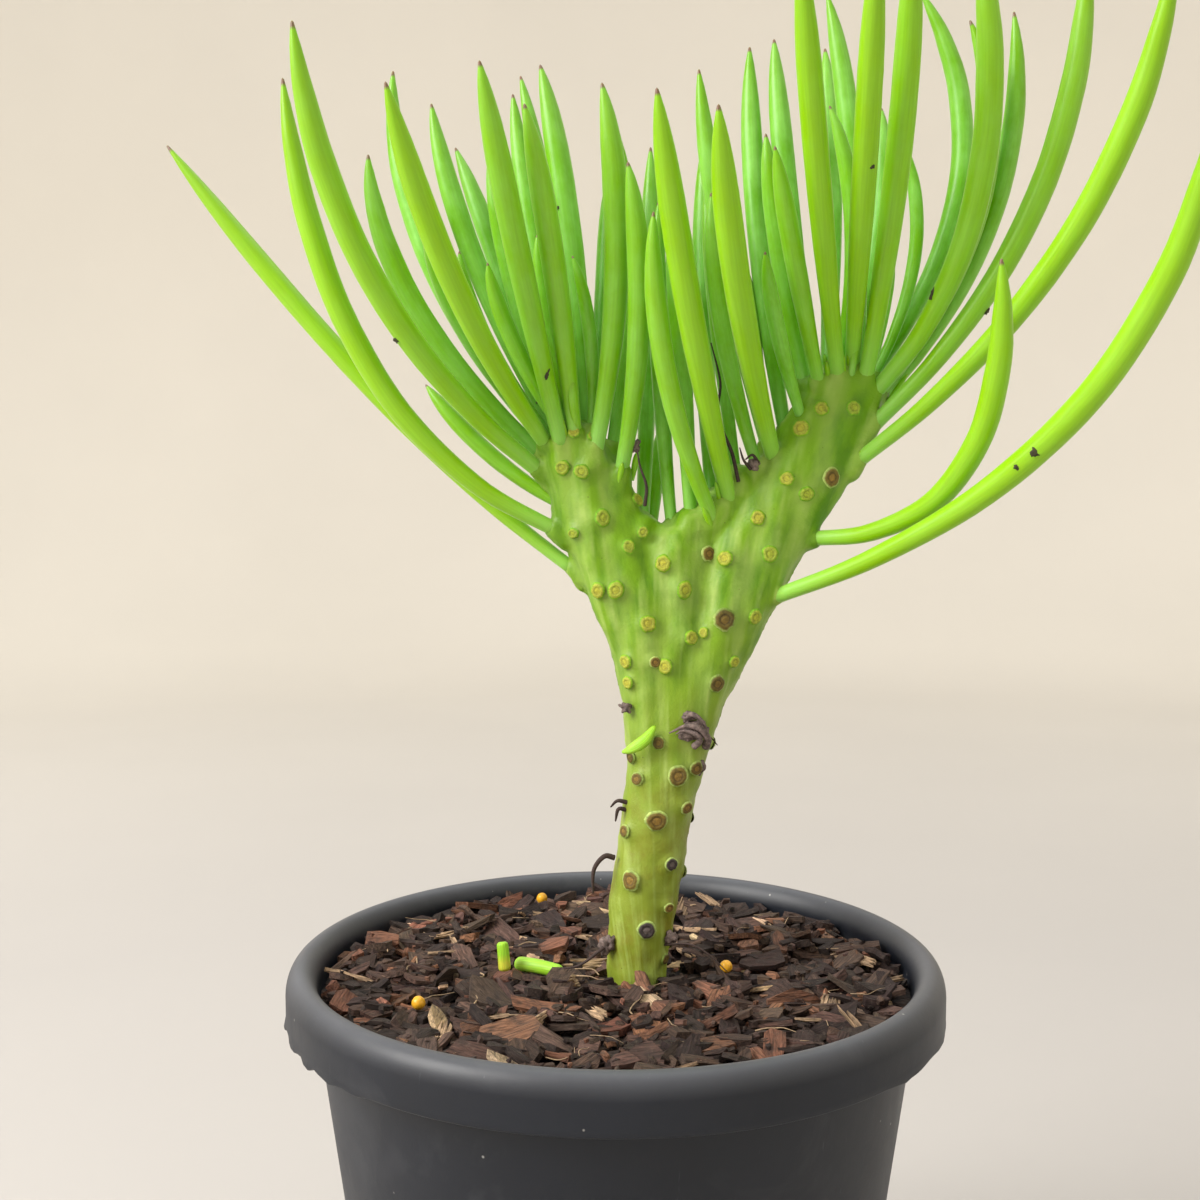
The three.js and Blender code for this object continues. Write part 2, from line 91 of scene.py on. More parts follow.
class PotSettings(bpy.types.PropertyGroup):
    base_radius: length_prop("Base radius", "Outer radius at the pot's foot", 48 * MM)
    wall_radius: length_prop("Wall radius", "Outer radius where the wall flares into the rim", 63.5 * MM)
    wall: length_prop("Wall", "Thickness of the plastic", 1.8 * MM)
    floor: length_prop("Floor", "Thickness of the pot's floor", 2.4 * MM)
    roll_width: length_prop("Rim width", "Width of the rolled rim", 6.6 * MM)
    roll_drop: length_prop("Rim drop", "Height of the rolled rim's outer face", 10.5 * MM)
    flare: length_prop("Flare", "Height of the flare under the rim", 7.5 * MM)
    flash: length_prop("Moulding flash", "How far the ragged moulding edge hangs under the rim", 1.4 * MM)
    segments: count_prop("Segments", "Facets around the pot", 192, 32)
    colour: colour_prop("Colour", "Charcoal plastic", (0.009, 0.0112, 0.0172))
    # The sheen colour is a painted highlight: faces turned upward, above all the rim's top, are mixed towards
    # it as if catching the light.
    film: colour_prop("Painted sheen", "Bluish painted sheen on faces turned upward", (0.22, 0.225, 0.245))
    roughness: bpy.props.FloatProperty(
        name="Roughness", description="Sheen of the plastic", default=0.42, min=0, max=1, subtype="FACTOR"
    )


class MulchSettings(bpy.types.PropertyGroup):
    chips: count_prop("Chips", "Number of bark chips", 1150)
    splinters: count_prop("Splinters", "Number of bundles of split inner bark", 34)
    crumbs: count_prop("Crumbs", "Number of small bark crumbs", 900)
    fibres: count_prop("Fibres", "Number of loose fibres", 46)
    chip_length: length_prop("Chip length", "Length of a common bark chip", 9.2 * MM)
    chip_thickness: length_prop("Chip thickness", "Thickness of a common bark chip", 1.3 * MM)
    dark: colour_prop("Dark bark", "Colour of damp bark", (0.026, 0.015, 0.012))
    brown: colour_prop("Brown bark", "Colour of common bark", (0.068, 0.039, 0.028))
    red: colour_prop("Red bark", "Colour of fresh bark", (0.165, 0.073, 0.042))
    tan: colour_prop("Tan fibre", "Colour of split inner bark", (0.42, 0.28, 0.17))
    seed: count_prop("Seed", "Arrangement of the chips", 7)


class StemSettings(bpy.types.PropertyGroup):
    cell: length_prop("Surface cell", "Cell size of the stem's fine surface", 0.75 * MM)
    furrow: length_prop("Furrow depth", "Depth of the furrows that fan out to the crest", 0.3 * MM)
    cushion: length_prop("Leaf cushion", "Height of the swelling under each scar", 1.0 * MM)
    scar_size: length_prop("Scar size", "Half width of a common leaf scar", 1.6 * MM)
    trunk: colour_prop("Trunk", "Pale yellow-green skin of the trunk", (0.245, 0.32, 0.028))
    crest: colour_prop("Crest", "Fresh green skin of the crest", (0.165, 0.345, 0.001))
    bloom: colour_prop("Bloom", "Chalky bloom on the skin", (0.43, 0.57, 0.14))
    deep: colour_prop("Deep green", "Darker patches near the crest", (0.08, 0.22, 0.001))
    stain: colour_prop("Stain", "Olive stains low on the trunk", (0.2, 0.19, 0.01))


class LeafSettings(bpy.types.PropertyGroup):
    sides: count_prop("Sides", "Facets around a leaf", 20, 8)
    rings: count_prop("Rings", "Rings along a leaf", 46, 12)
    buds: count_prop("Buds", "Number of buds among the leaf roots", 34)
    buried: length_prop("Buried root", "How far a leaf's root runs on into the stem", 2.6 * MM)
    # The sunny and shady greens are painted light: lit and shaded copies of one leaf colour.
    sunny: colour_prop("Sunny green", "Yellow-green of the nearer leaves", (0.265, 0.535, 0.001))
    shady: colour_prop("Shady green", "Plain green of most leaves", (0.15, 0.43, 0.003))
    bloom: colour_prop("Bloom", "Mint bloom on the leaves", (0.34, 0.72, 0.17))
    point: colour_prop("Leaf point", "Dry point of a leaf", (0.16, 0.07, 0.06))


class BitsSettings(bpy.types.PropertyGroup):
    prill: colour_prop("Prill", "Amber fertiliser prill", (0.72, 0.36, 0.02))
    withered: colour_prop("Withered skin", "Dry purple-grey leaf remains", (0.165, 0.12, 0.108))
    thread: colour_prop("Dry thread", "Dark dried leaf threads", (0.05, 0.03, 0.025))


class StageSettings(bpy.types.PropertyGroup):
    lens: bpy.props.FloatProperty(name="Lens", description="Focal length in mm", default=45, min=10)
    tilt: bpy.props.FloatProperty(
        name="Tilt", description="Camera tilt below level", default=math.radians(4.4), subtype="ANGLE"
    )
    floor: colour_prop("Floor", "Pale floor", (0.475, 0.45, 0.425))
    backdrop: colour_prop("Backdrop", "Cream backdrop", (0.72, 0.68, 0.61))
    key: power_prop("Key light", "Power of the key light on the left", 28)
    fill: power_prop("Fill light", "Power of the fill light on the right", 0.8)
    top: power_prop("Top light", "Power of the light from above", 6)
    sky: bpy.props.FloatProperty(name="Sky", description="Strength of the surrounding light", default=0.92)


# ---------------------------------------------------------------- nodes and materials


def add_node(tree, kind, inputs=None, **settings):
    made = tree.nodes.new(kind)
    for key, value in settings.items():
        setattr(made, key, value)
    for key, value in (inputs or {}).items():
        if isinstance(value, bpy.types.NodeSocket):
            tree.links.new(value, made.inputs[key])
        else:
            made.inputs[key].default_value = value
    return made


def rgba(colour, lift=1.0):
    return tuple(min(1.0, c * lift) for c in colour) + (1.0,)


def mix_colour(tree, factor, a, b, blend="MIX"):
    made = tree.nodes.new("ShaderNodeMix")
    made.data_type = "RGBA"
    made.blend_type = blend
    for index, value in ((0, factor), (6, a), (7, b)):
        if isinstance(value, bpy.types.NodeSocket):
            tree.links.new(value, made.inputs[index])
        else:
            made.inputs[index].default_value = value
    return made.outputs[2]


def ramp(tree, factor, stops):
    made = add_node(tree, "ShaderNodeValToRGB", {"Fac": factor})
    elements = made.color_ramp.elements
    while len(elements) < len(stops):
        elements.new(0.5)
    for element, (position, value) in zip(elements, stops):
        element.position = position
        element.color = value if len(value) == 4 else (*value, 1)
    return made.outputs["Color"]


def grey_ramp(tree, factor, low, high, start=0.0, end=1.0):
    return add_node(
        tree,
        "ShaderNodeMapRange",
        {"Value": factor, "From Min": low, "From Max": high, "To Min": start, "To Max": end},
    ).outputs["Result"]


def maths(tree, operation, a, b=0.0):
    made = tree.nodes.new("ShaderNodeMath")
    made.operation = operation
    for index, value in ((0, a), (1, b)):
        if isinstance(value, bpy.types.NodeSocket):
            tree.links.new(value, made.inputs[index])
        else:
            made.inputs[index].default_value = value
    return made.outputs[0]


def attribute(tree, name, output="Fac"):
    return add_node(tree, "ShaderNodeAttribute", attribute_name=name).outputs[output]


def place(tree):
    return add_node(tree, "ShaderNodeTexCoord").outputs["Object"]


def scaled(tree, vector, scale):
    return add_node(tree, "ShaderNodeVectorMath", {0: vector, 1: scale}, operation="MULTIPLY").outputs[0]


def fractal(tree, vector, scale, detail=3.0, roughness=0.55, distortion=0.0):
    made = add_node(tree, "ShaderNodeTexNoise", {"Vector": vector, "Scale": scale, "Detail": detail})
    made.inputs["Roughness"].default_value = roughness
    made.inputs["Distortion"].default_value = distortion
    return made.outputs["Fac"]


def new_group(name, inputs, outputs):
    tree = bpy.data.node_groups.new(name, "ShaderNodeTree")
    for label, kind, default in inputs:
        socket = tree.interface.new_socket(label, in_out="INPUT", socket_type=kind)
        if default is not None:
            socket.default_value = default
    for label, kind in outputs:
        tree.interface.new_socket(label, in_out="OUTPUT", socket_type=kind)
    return tree, tree.nodes.new("NodeGroupInput"), tree.nodes.new("NodeGroupOutput")


def waxy_skin_group():
    """A chalky bloom that lies in soft patches, and fine streaks that run along the growth."""
    tree, start, end = new_group(
        "waxy_skin",
        [
            ("Vector", "NodeSocketVector", None),
            ("Patch Scale", "NodeSocketFloat", 2.0),
            ("Streak Scale", "NodeSocketFloat", 6.0),
        ],
        [("Bloom", "NodeSocketFloat"), ("Streak", "NodeSocketFloat"), ("Height", "NodeSocketFloat")],
    )
    vector, patch, streak = (start.outputs[i] for i in range(3))
    bloom = fractal(tree, vector, patch, 4, 0.6)
    lines = fractal(tree, scaled(tree, vector, (1, 1, 0.09)), streak, 2, 0.5)
    pores = fractal(tree, vector, maths(tree, "MULTIPLY", streak, 5), 2, 0.6)
    tree.links.new(grey_ramp(tree, bloom, 0.35, 0.7), end.inputs["Bloom"])
    tree.links.new(grey_ramp(tree, lines, 0.3, 0.7), end.inputs["Streak"])
    height = maths(tree, "ADD", maths(tree, "MULTIPLY", lines, 0.6), maths(tree, "MULTIPLY", pores, 0.4))
    tree.links.new(height, end.inputs["Height"])
    return tree


def dust_group():
    """Sparse pale specks and faint smears, as dry dust lies on a handled surface."""
    tree, start, end = new_group(
        "dust",
        [("Vector", "NodeSocketVector", None), ("Scale", "NodeSocketFloat", 400.0)],
        [("Specks", "NodeSocketFloat"), ("Smear", "NodeSocketFloat")],
    )
    vector, scale = start.outputs[0], start.outputs[1]
    cells = add_node(tree, "ShaderNodeTexVoronoi", {"Vector": vector, "Scale": scale})
    dot = grey_ramp(tree, cells.outputs["Distance"], 0.11, 0.05)
    chosen = add_node(tree, "ShaderNodeSeparateColor", {"Color": cells.outputs["Color"]}).outputs[0]
    few = maths(tree, "GREATER_THAN", chosen, 0.93)
    tree.links.new(maths(tree, "MULTIPLY", dot, few), end.inputs["Specks"])
    smear = fractal(tree, vector, maths(tree, "MULTIPLY", scale, 0.08), 5, 0.65, 0.6)
    tree.links.new(grey_ramp(tree, smear, 0.5, 0.8), end.inputs["Smear"])
    return tree


def group_node(tree, name, inputs):
    made = tree.nodes.new("ShaderNodeGroup")
    made.node_tree = bpy.data.node_groups[name]
    for key, value in inputs.items():
        if isinstance(value, bpy.types.NodeSocket):
            tree.links.new(value, made.inputs[key])
        else:
            made.inputs[key].default_value = value
    return made.outputs


def new_material(name, **plain):
    material = bpy.data.materials.new(name)
    material.use_nodes = True
    tree = material.node_tree
    shader = tree.nodes["Principled BSDF"]
    for key, value in plain.items():
        shader.inputs[key.replace("_", " ")].default_value = value
    return material, tree, shader


def bump(tree, shader, height, distance, strength=0.5):
    made = add_node(tree, "ShaderNodeBump", {"Height": height, "Distance": distance, "Strength": strength})
    tree.links.new(made.outputs["Normal"], shader.inputs["Normal"])


# How strongly succulent flesh bends light.
FLESH_IOR = 1.42


def leaf_material(settings):
    material, tree, shader = new_material("leaf_skin", IOR=FLESH_IOR, Sheen_Weight=0.25, Sheen_Roughness=0.35)
    shader.inputs["Subsurface Weight"].default_value = 0.25
    shader.inputs["Subsurface Scale"].default_value = 4 * MM
    shader.inputs["Sheen Tint"].default_value = (0.8, 1.0, 0.35, 1)
    shader.inputs["Subsurface Radius"].default_value = (0.5, 1.0, 0.15)
    along = attribute(tree, "along")
    skin = attribute(tree, "skin", "Vector")
    tone = attribute(tree, "tone")
    waxy = group_node(tree, "waxy_skin", {"Vector": skin, "Patch Scale": 0.4, "Streak Scale": 5.0})
    # Painted light: the tone mixes each leaf from the shady green to the sunny green, and shady leaves get
    # more of the pale bloom.
    body = mix_colour(tree, tone, rgba(settings.shady), rgba(settings.sunny))
    pale = maths(tree, "MULTIPLY", waxy["Bloom"], grey_ramp(tree, tone, 0.0, 1.0, 0.7, 0.12))
    body = mix_colour(tree, pale, body, rgba(settings.bloom))
    streak = grey_ramp(tree, waxy["Streak"], 0, 1, 0.92, 1.06)
    body = mix_colour(tree, 1.0, body, streak, "MULTIPLY")
    root = grey_ramp(tree, along, 0.16, 0.0)
    body = mix_colour(tree, maths(tree, "MULTIPLY", root, 0.55), body, rgba(settings.bloom, 0.9))
    deep = grey_ramp(tree, along, 0.72, 0.97)
    body = mix_colour(tree, maths(tree, "MULTIPLY", deep, 0.35), body, rgba(settings.sunny, 0.6))
    point = grey_ramp(tree, along, 0.986, 0.993)
    body = mix_colour(tree, point, body, rgba(settings.point))
    tree.links.new(body, shader.inputs["Base Color"])
    tree.links.new(grey_ramp(tree, waxy["Bloom"], 0, 1, 0.3, 0.44), shader.inputs["Roughness"])
    bump(tree, shader, waxy["Height"], 0.0001, 0.25)
    return material


def stem_material(settings):
    material, tree, shader = new_material("stem_skin", IOR=FLESH_IOR)
    shader.inputs["Subsurface Weight"].default_value = 0.05
    shader.inputs["Subsurface Scale"].default_value = 3 * MM
    shader.inputs["Subsurface Radius"].default_value = (0.6, 1.0, 0.2)
    where = place(tree)
    rise = attribute(tree, "rise")
    fan = attribute(tree, "fan", "Vector")
    waxy = group_node(tree, "waxy_skin", {"Vector": fan, "Patch Scale": 0.12, "Streak Scale": 0.36})
    body = mix_colour(tree, rise, rgba(settings.trunk), rgba(settings.crest))
    patch = grey_ramp(tree, fractal(tree, scaled(tree, fan, (1, 1, 0.3)), 0.2, 4, 0.6), 0.46, 0.62, 0, 0.8)
    body = mix_colour(tree, maths(tree, "MULTIPLY", patch, rise), body, rgba(settings.deep))
    low = grey_ramp(tree, rise, 0.5, 0.0)
    stain = grey_ramp(tree, fractal(tree, where, 95, 4, 0.65), 0.47, 0.64, 0, 0.75)
    body = mix_colour(tree, maths(tree, "MULTIPLY", stain, low), body, rgba(settings.stain))
    chalk = grey_ramp(tree, waxy["Streak"], 0.4, 1.0, 0, 0.7)
    chalk = maths(tree, "MULTIPLY", chalk, grey_ramp(tree, waxy["Bloom"], 0.1, 0.8, 0.3, 1))
    body = mix_colour(tree, chalk, body, rgba(settings.bloom))
    furrow = attribute(tree, "furrow")
    body = mix_colour(tree, maths(tree, "MULTIPLY", furrow, 0.3), body, rgba(settings.bloom, 0.9))
    cushion = attribute(tree, "cushion")
    body = mix_colour(tree, maths(tree, "MULTIPLY", cushion, 0.3), body, rgba(settings.bloom, 0.8))
    dust = group_node(tree, "dust", {"Vector": where, "Scale": 700.0})
    body = mix_colour(tree, maths(tree, "MULTIPLY", dust["Specks"], 0.85), body, (0.06, 0.04, 0.01, 1))
    tree.links.new(body, shader.inputs["Base Color"])
    tree.links.new(grey_ramp(tree, waxy["Bloom"], 0, 1, 0.4, 0.58), shader.inputs["Roughness"])
    bump(tree, shader, waxy["Height"], 0.0004, 0.6)
    return material


def scar_material(name, edge, ring, centre, groove, aged):
    """A leaf scar in three zones: the skin's edge, the corky ring and the grooved middle."""
    material, tree, shader = new_material(name, Roughness=0.65)
    where = place(tree)
    zone = attribute(tree, "zone")
    grit = fractal(tree, where, 1400, 4, 0.7)
    line = rgba(centre[:3], groove)
    stops = [(0.0, centre), (0.32, centre), (0.42, line), (0.54, ring), (0.76, ring), (0.92, edge)]
    body = ramp(tree, zone, stops)
    some = grey_ramp(tree, fractal(tree, where, 70, 2, 0.5), 0.44, 0.56)
    body = mix_colour(tree, some, body, mix_colour(tree, 1.0, body, aged, "MULTIPLY"))
    body = mix_colour(tree, 1.0, body, grey_ramp(tree, grit, 0.3, 0.75, 0.6, 1.35), "MULTIPLY")
    tree.links.new(body, shader.inputs["Base Color"])
    bump(tree, shader, grit, 0.0004, 0.8)
    return material


def bark_material(settings):
    material, tree, shader = new_material("bark", IOR=1.4)
    grain = attribute(tree, "grain", "Vector")
    tint = attribute(tree, "tint", "Color")
    fibre = fractal(tree, scaled(tree, grain, (0.16, 1.5, 1.5)), 1500, 4, 0.65, 0.4)
    patches = fractal(tree, grain, 260, 3, 0.6)
    body = mix_colour(tree, 1.0, tint, grey_ramp(tree, fibre, 0.32, 0.68, 0.3, 1.8), "MULTIPLY")
    body = mix_colour(tree, grey_ramp(tree, patches, 0.5, 0.68, 0, 0.6), body, rgba(settings.dark))
    dusty = grey_ramp(tree, fractal(tree, grain, 700, 5, 0.7), 0.58, 0.75, 0, 0.26)
    body = mix_colour(tree, dusty, body, (0.3, 0.23, 0.17, 1))
    tree.links.new(body, shader.inputs["Base Color"])
    tree.links.new(grey_ramp(tree, patches, 0.3, 0.7, 0.95, 0.62), shader.inputs["Roughness"])
    bump(tree, shader, fibre, 0.0006, 0.9)
    return material


def soil_material(name, dark, brown):
    material, tree, shader = new_material(name, Roughness=0.92)
    where = place(tree)
    crumbs = add_node(tree, "ShaderNodeTexVoronoi", {"Vector": where, "Scale": 620.0})
    shade = add_node(tree, "ShaderNodeSeparateColor", {"Color": crumbs.outputs["Color"]}).outputs[0]
    body = mix_colour(tree, grey_ramp(tree, shade, 0.35, 1.0), dark, brown)
    grit = grey_ramp(tree, fractal(tree, where, 1500, 4), 0.3, 0.7, 0.5, 1.3)
    body = mix_colour(tree, 1.0, body, grit, "MULTIPLY")
    tree.links.new(body, shader.inputs["Base Color"])
    bump(tree, shader, crumbs.outputs["Distance"], 0.0012, 0.8)
    return material


def pot_material(settings):
    material, tree, shader = new_material("pot_plastic", IOR=1.5, Specular_IOR_Level=0.36)
    where = place(tree)
    cloud = fractal(tree, where, 28, 5, 0.6)
    dim, light = rgba(settings.colour, 0.85), rgba(settings.colour, 1.3)
    body = mix_colour(tree, grey_ramp(tree, cloud, 0.3, 0.75), dim, light)
    # Painted highlight: faces turned upward are mixed towards the pale bluish sheen colour, for the light
    # that the rim's top catches.
    facing = add_node(tree, "ShaderNodeNewGeometry").outputs["Normal"]
    upward = add_node(tree, "ShaderNodeSeparateXYZ", {0: facing}).outputs[2]
    painted_sheen_mask = grey_ramp(tree, upward, 0.1, 0.9, 0, 0.42)
    painted_sheen_mask = maths(tree, "MULTIPLY", painted_sheen_mask, grey_ramp(tree, cloud, 0.3, 0.7, 0.7, 1))
    body = mix_colour(tree, painted_sheen_mask, body, rgba(settings.film))
    dust = group_node(tree, "dust", {"Vector": where, "Scale": 330.0})
    body = mix_colour(tree, maths(tree, "MULTIPLY", dust["Specks"], 0.55), body, (0.5, 0.48, 0.45, 1))
    body = mix_colour(tree, maths(tree, "MULTIPLY", dust["Smear"], 0.12), body, (0.3, 0.3, 0.31, 1))
    lines = fractal(tree, scaled(tree, where, (1, 1, 0.03)), 900, 2, 0.5)
    scratch = grey_ramp(tree, lines, 0.72, 0.78)
    body = mix_colour(tree, maths(tree, "MULTIPLY", scratch, 0.12), body, (0.25, 0.26, 0.28, 1))
    tree.links.new(body, shader.inputs["Base Color"])
    rough = grey_ramp(tree, cloud, 0.3, 0.7, settings.roughness - 0.05, settings.roughness + 0.1)
    rough = maths(tree, "ADD", rough, maths(tree, "MULTIPLY", dust["Smear"], 0.18))
    tree.links.new(rough, shader.inputs["Roughness"])
    fine = fractal(tree, where, 2600, 2, 0.5)
    wavy = fractal(tree, where, 90, 3, 0.5)
    height = maths(tree, "ADD", maths(tree, "MULTIPLY", fine, 0.12), wavy)
    bump(tree, shader, height, 0.00035, 0.35)
    return material


def plain_skin_material(name, colour, roughness, grit_scale, spread=0.35, depth=0.0003):
    """A dry or glossy skin with mottled colour, for the small bits."""
    material, tree, shader = new_material(name, IOR=1.45)
    where = place(tree)
    grit = fractal(tree, where, grit_scale, 4, 0.65)
    body = mix_colour(
        tree, grey_ramp(tree, grit, 0.3, 0.7), rgba(colour, 1 - spread), rgba(colour, 1 + spread)
    )
    tree.links.new(body, shader.inputs["Base Color"])
    rough = grey_ramp(tree, grit, 0, 1, roughness - 0.08, roughness + 0.12)
    tree.links.new(rough, shader.inputs["Roughness"])
    bump(tree, shader, grit, depth, 0.6)
    return material


def broken_leaf_material(name, start, finish):
    """A torn leaf whose colour runs from its cut end to its far end."""
    material, tree, shader = new_material(name, IOR=FLESH_IOR)
    shader.inputs["Subsurface Weight"].default_value = 0.15
    shader.inputs["Subsurface Scale"].default_value = 3 * MM
    along = attribute(tree, "along")
    skin = attribute(tree, "skin", "Vector")
    waxy = group_node(tree, "waxy_skin", {"Vector": skin, "Patch Scale": 1.5, "Streak Scale": 6.0})
    body = mix_colour(tree, grey_ramp(tree, along, 0.3, 0.6), start, finish)
    body = mix_colour(tree, 1.0, body, grey_ramp(tree, waxy["Streak"], 0, 1, 0.75, 1.15), "MULTIPLY")
    tree.links.new(body, shader.inputs["Base Color"])
    tree.links.new(grey_ramp(tree, waxy["Bloom"], 0, 1, 0.35, 0.5), shader.inputs["Roughness"])
    bump(tree, shader, waxy["Height"], 0.0002, 0.4)
    return material


# ---------------------------------------------------------------- meshes


def smooth_path(points, steps, values=None):
    """Evenly spaced places on a smooth curve through the points, with any values carried along it."""
    rows = [list(p) + ([values[i]] if values is not None else []) for i, p in enumerate(points)]
    data = np.array(rows, float)
    padded = np.vstack([2 * data[0] - data[1], data, 2 * data[-1] - data[-2]])
    fine = []
    share = np.linspace(0, 1, 24, endpoint=False)[:, None]
    for i in range(1, len(padded) - 2):
        a, b, c, d = padded[i - 1], padded[i], padded[i + 1], padded[i + 2]
        curve = 2 * b + (c - a) * share
        curve = curve + (2 * a - 5 * b + 4 * c - d) * share**2
        curve = curve + (3 * b - a - 3 * c + d) * share**3
        fine.append(0.5 * curve)
    fine = np.vstack(fine + [data[-1:]])
    travel = np.concatenate([[0], np.cumsum(np.linalg.norm(np.diff(fine[:, :3], axis=0), axis=1))])
    wanted = np.linspace(0, travel[-1], steps)
    even = np.column_stack([np.interp(wanted, travel, fine[:, k]) for k in range(fine.shape[1])])
    return even[:, :3], (even[:, 3] if values is not None else None), travel[-1]


class Loft:
    """Vertices, faces and surface values of one or more round bodies, gathered for a single mesh."""

    def __init__(self):
        self.points, self.faces = [], []
        self.values = {"along": [], "tone": [], "skin": []}

    def add(self, centres, radii, sides, across=(0, 1, 0), tone=0.5, section=None, pointed=True):
        start = len(self.points)
        tangents = np.gradient(centres, axis=0)
        tangents /= np.linalg.norm(tangents, axis=1)[:, None]
        across = np.array(across, float)
        travel = np.concatenate([[0], np.cumsum(np.linalg.norm(np.diff(centres, axis=0), axis=1))])
        widest = max(radii)
        angles = np.linspace(0, 2 * math.pi, sides, endpoint=False)
        for row, (centre, radius, ahead) in enumerate(zip(centres, radii, tangents)):
            depth = across - ahead * across.dot(ahead)
            depth /= np.linalg.norm(depth)
            width = np.cross(ahead, depth)
            for angle in angles:
                reach = radius * (section(angle, travel[row] / travel[-1]) if section else 1)
                self.points.append(centre + (width * math.cos(angle) + depth * math.sin(angle)) * reach)
                u = math.cos(angle) + 7 * tone
                v = math.sin(angle) + 3 * start % 11
                self.note(travel[row] / travel[-1], tone, (u, v, travel[row] / (2 * widest)))
        rows = len(centres)
        for row in range(rows - 1):
            for side in range(sides):
                a = start + row * sides + side
                b = start + row * sides + (side + 1) % sides
                self.faces.append((a, b, b + sides, a + sides))
        self.cap(start, sides, centres[0] - tangents[0] * radii[0] * 0.15, tone, 0.0, True)
        last = start + (rows - 1) * sides
        tip = centres[-1] + tangents[-1] * radii[-1] * (1.2 if pointed else 0.1)
        self.cap(last, sides, tip, tone, 1.0, False)

    def cap(self, ring, sides, centre, tone, along, flip):
        middle = len(self.points)
        self.points.append(centre)
        self.note(along, tone, (7 * tone, 0, along * 10))
        for side in range(sides):
            a, b = ring + side, ring + (side + 1) % sides
            self.faces.append((b, a, middle) if flip else (a, b, middle))

    def note(self, along, tone, skin):
        self.values["along"].append(along)
        self.values["tone"].append(tone)
        self.values["skin"].append(skin)


def put_attribute(mesh, name, values):
    values = np.array(values, np.float32)
    if values.ndim == 1:
        mesh.attributes.new(name, "FLOAT", "POINT").data.foreach_set("value", values)
    elif values.shape[1] == 3:
        mesh.attributes.new(name, "FLOAT_VECTOR", "POINT").data.foreach_set("vector", values.ravel())
    else:
        mesh.attributes.new(name, "FLOAT_COLOR", "POINT").data.foreach_set("color", values.ravel())


def add_piece(name, points, faces, material, slot, replaces=(), values=None, smooth=True):
    """A finished mesh piece that rides with the plant and stands for the named CAD nodes."""
    if not len(points) or not len(faces):
        raise RuntimeError(f"{name} came out empty")
    mesh = bpy.data.meshes.new(name)
    mesh.from_pydata([tuple(p) for p in points], [], [tuple(f) for f in faces])
    mesh.update()
    for label, rows in (values or {}).items():
        put_attribute(mesh, label, rows)
    mesh.polygons.foreach_set("use_smooth", [smooth] * len(mesh.polygons))
    piece = bpy.data.objects.new(name, mesh)
    bpy.context.scene.collection.objects.link(piece)
    mesh.materials.append(material)
    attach(piece, "root")
    if replaces:
        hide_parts(*replaces)
    return piece


def cad_bmesh(node):
    mesh = bmesh.new()
    mesh.from_mesh(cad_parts[node].data)
    bmesh.ops.remove_doubles(mesh, verts=mesh.verts, dist=2e-6)
    mesh.verts.ensure_lookup_table()
    return mesh


def ring_path(node):
    """A leaf's middle line and radii, root first, read ring by ring down from its point."""
    mesh = cad_bmesh(node)
    tip = max(mesh.verts, key=lambda v: v.co.z)
    seen = {tip}
    ring = [tip]
    centres, radii = [tip.co.copy()], [0.0]
    while True:
        ring = {edge.other_vert(v) for v in ring for edge in v.link_edges} - seen
        if len(ring) < 4:
            break
        seen |= ring
        centre = sum((v.co for v in ring), Vector()) / len(ring)
        centres.append(centre)
        radii.append(sum((v.co - centre).length for v in ring) / len(ring))
    mesh.free()
    return centres[::-1], radii[::-1]


def bend_path(root, bend, tip, steps=8):
    """Places along a simple bow from root to tip."""
    places = []
    for step in range(steps + 1):
        t = step / steps
        places.append(root * (1 - t) ** 2 + bend * 2 * t * (1 - t) + tip * t**2)
    return places


def rng_for(*keys):
    return random.Random("-".join(str(k) for k in keys))


# ---------------------------------------------------------------- leaves

# Young leaves that hide between the long ones, in mm from the stem's foot:
# [root x, y, z], [bend x, y, z], [tip x, y, z], half width.
YOUNG_LEAVES = [
    ([-15, 1, 101], [-32, 4, 110], [-45, 8, 127], 1.9),
    ([-19, -2, 117], [-35, -6, 137], [-36, -8, 153], 1.7),
    ([-16, -4, 118], [-28, -9, 137], [-30, -12, 150], 1.8),
    ([34, -4, 121], [27, -14, 138], [25, -20, 151], 1.7),
    ([45, -5, 130], [46, -12, 145], [45, -14, 158], 1.2),
    ([49, -5, 130], [51, -9, 140], [52, -10, 152], 1.1),
    ([-12, -5, 117], [-13, -8, 122], [-13, -9, 127], 1.1),
    ([-8, 4, 114], [-4, 9, 130], [-4, 12, 143], 1.5),
    ([22, 4, 107], [17, 5, 140], [15, 6, 168], 1.7),
    ([28, 5, 113], [26, 8, 135], [24, 10, 153], 1.7),
    ([4, 5, 97], [5, 10, 107], [6, 14, 118], 1.6),
]
# Dark specks on the leaves' fronts, in mm from the stem's foot: (x, z, half width, half height).
LEAF_SPECKS = [
    (-47.4, 133.9, 0.5, 0.45), (43.6, 164.7, 0.35, 0.35), (59.3, 143.4, 0.4, 0.9), (70.6, 140.4, 0.4, 0.6),
    (63.9, 122.9, 0.8, 0.3), (-18, 127.7, 0.3, 0.8), (72.6, 111.3, 0.75, 0.6), (69.9, 108.6, 0.45, 0.35),
    (85.8, 139.6, 0.4, 1.1), (51.5, 88.9, 0.8, 0.3), (-16.1, 163.3, 0.25, 0.3), (-20.4, 123, 0.3, 0.4),
]
# How much wider than listed the specks are drawn, and how far they stand out, in mm.
SPECK_SIZE, SPECK_DEPTH = 1.3, 0.22
# Leaves painted fully sunny: their yellowest green is painted light.
SUNLIT_LEAVES = ("leaf_01", "leaf_02", "leaf_27", "leaf_49")


# Where a leaf is widest and where its point begins, as shares of its length, and its root's share of width.
WIDEST, POINT_START, ROOT_WIDTH = 0.58, 0.66, 0.62
# Painted light: how near the leaves' point in y, in metres, counts as fully sunny, and over what depth that
# fades.
SUNNY_FRONT, SUNNY_DEPTH = 0.012, 0.06


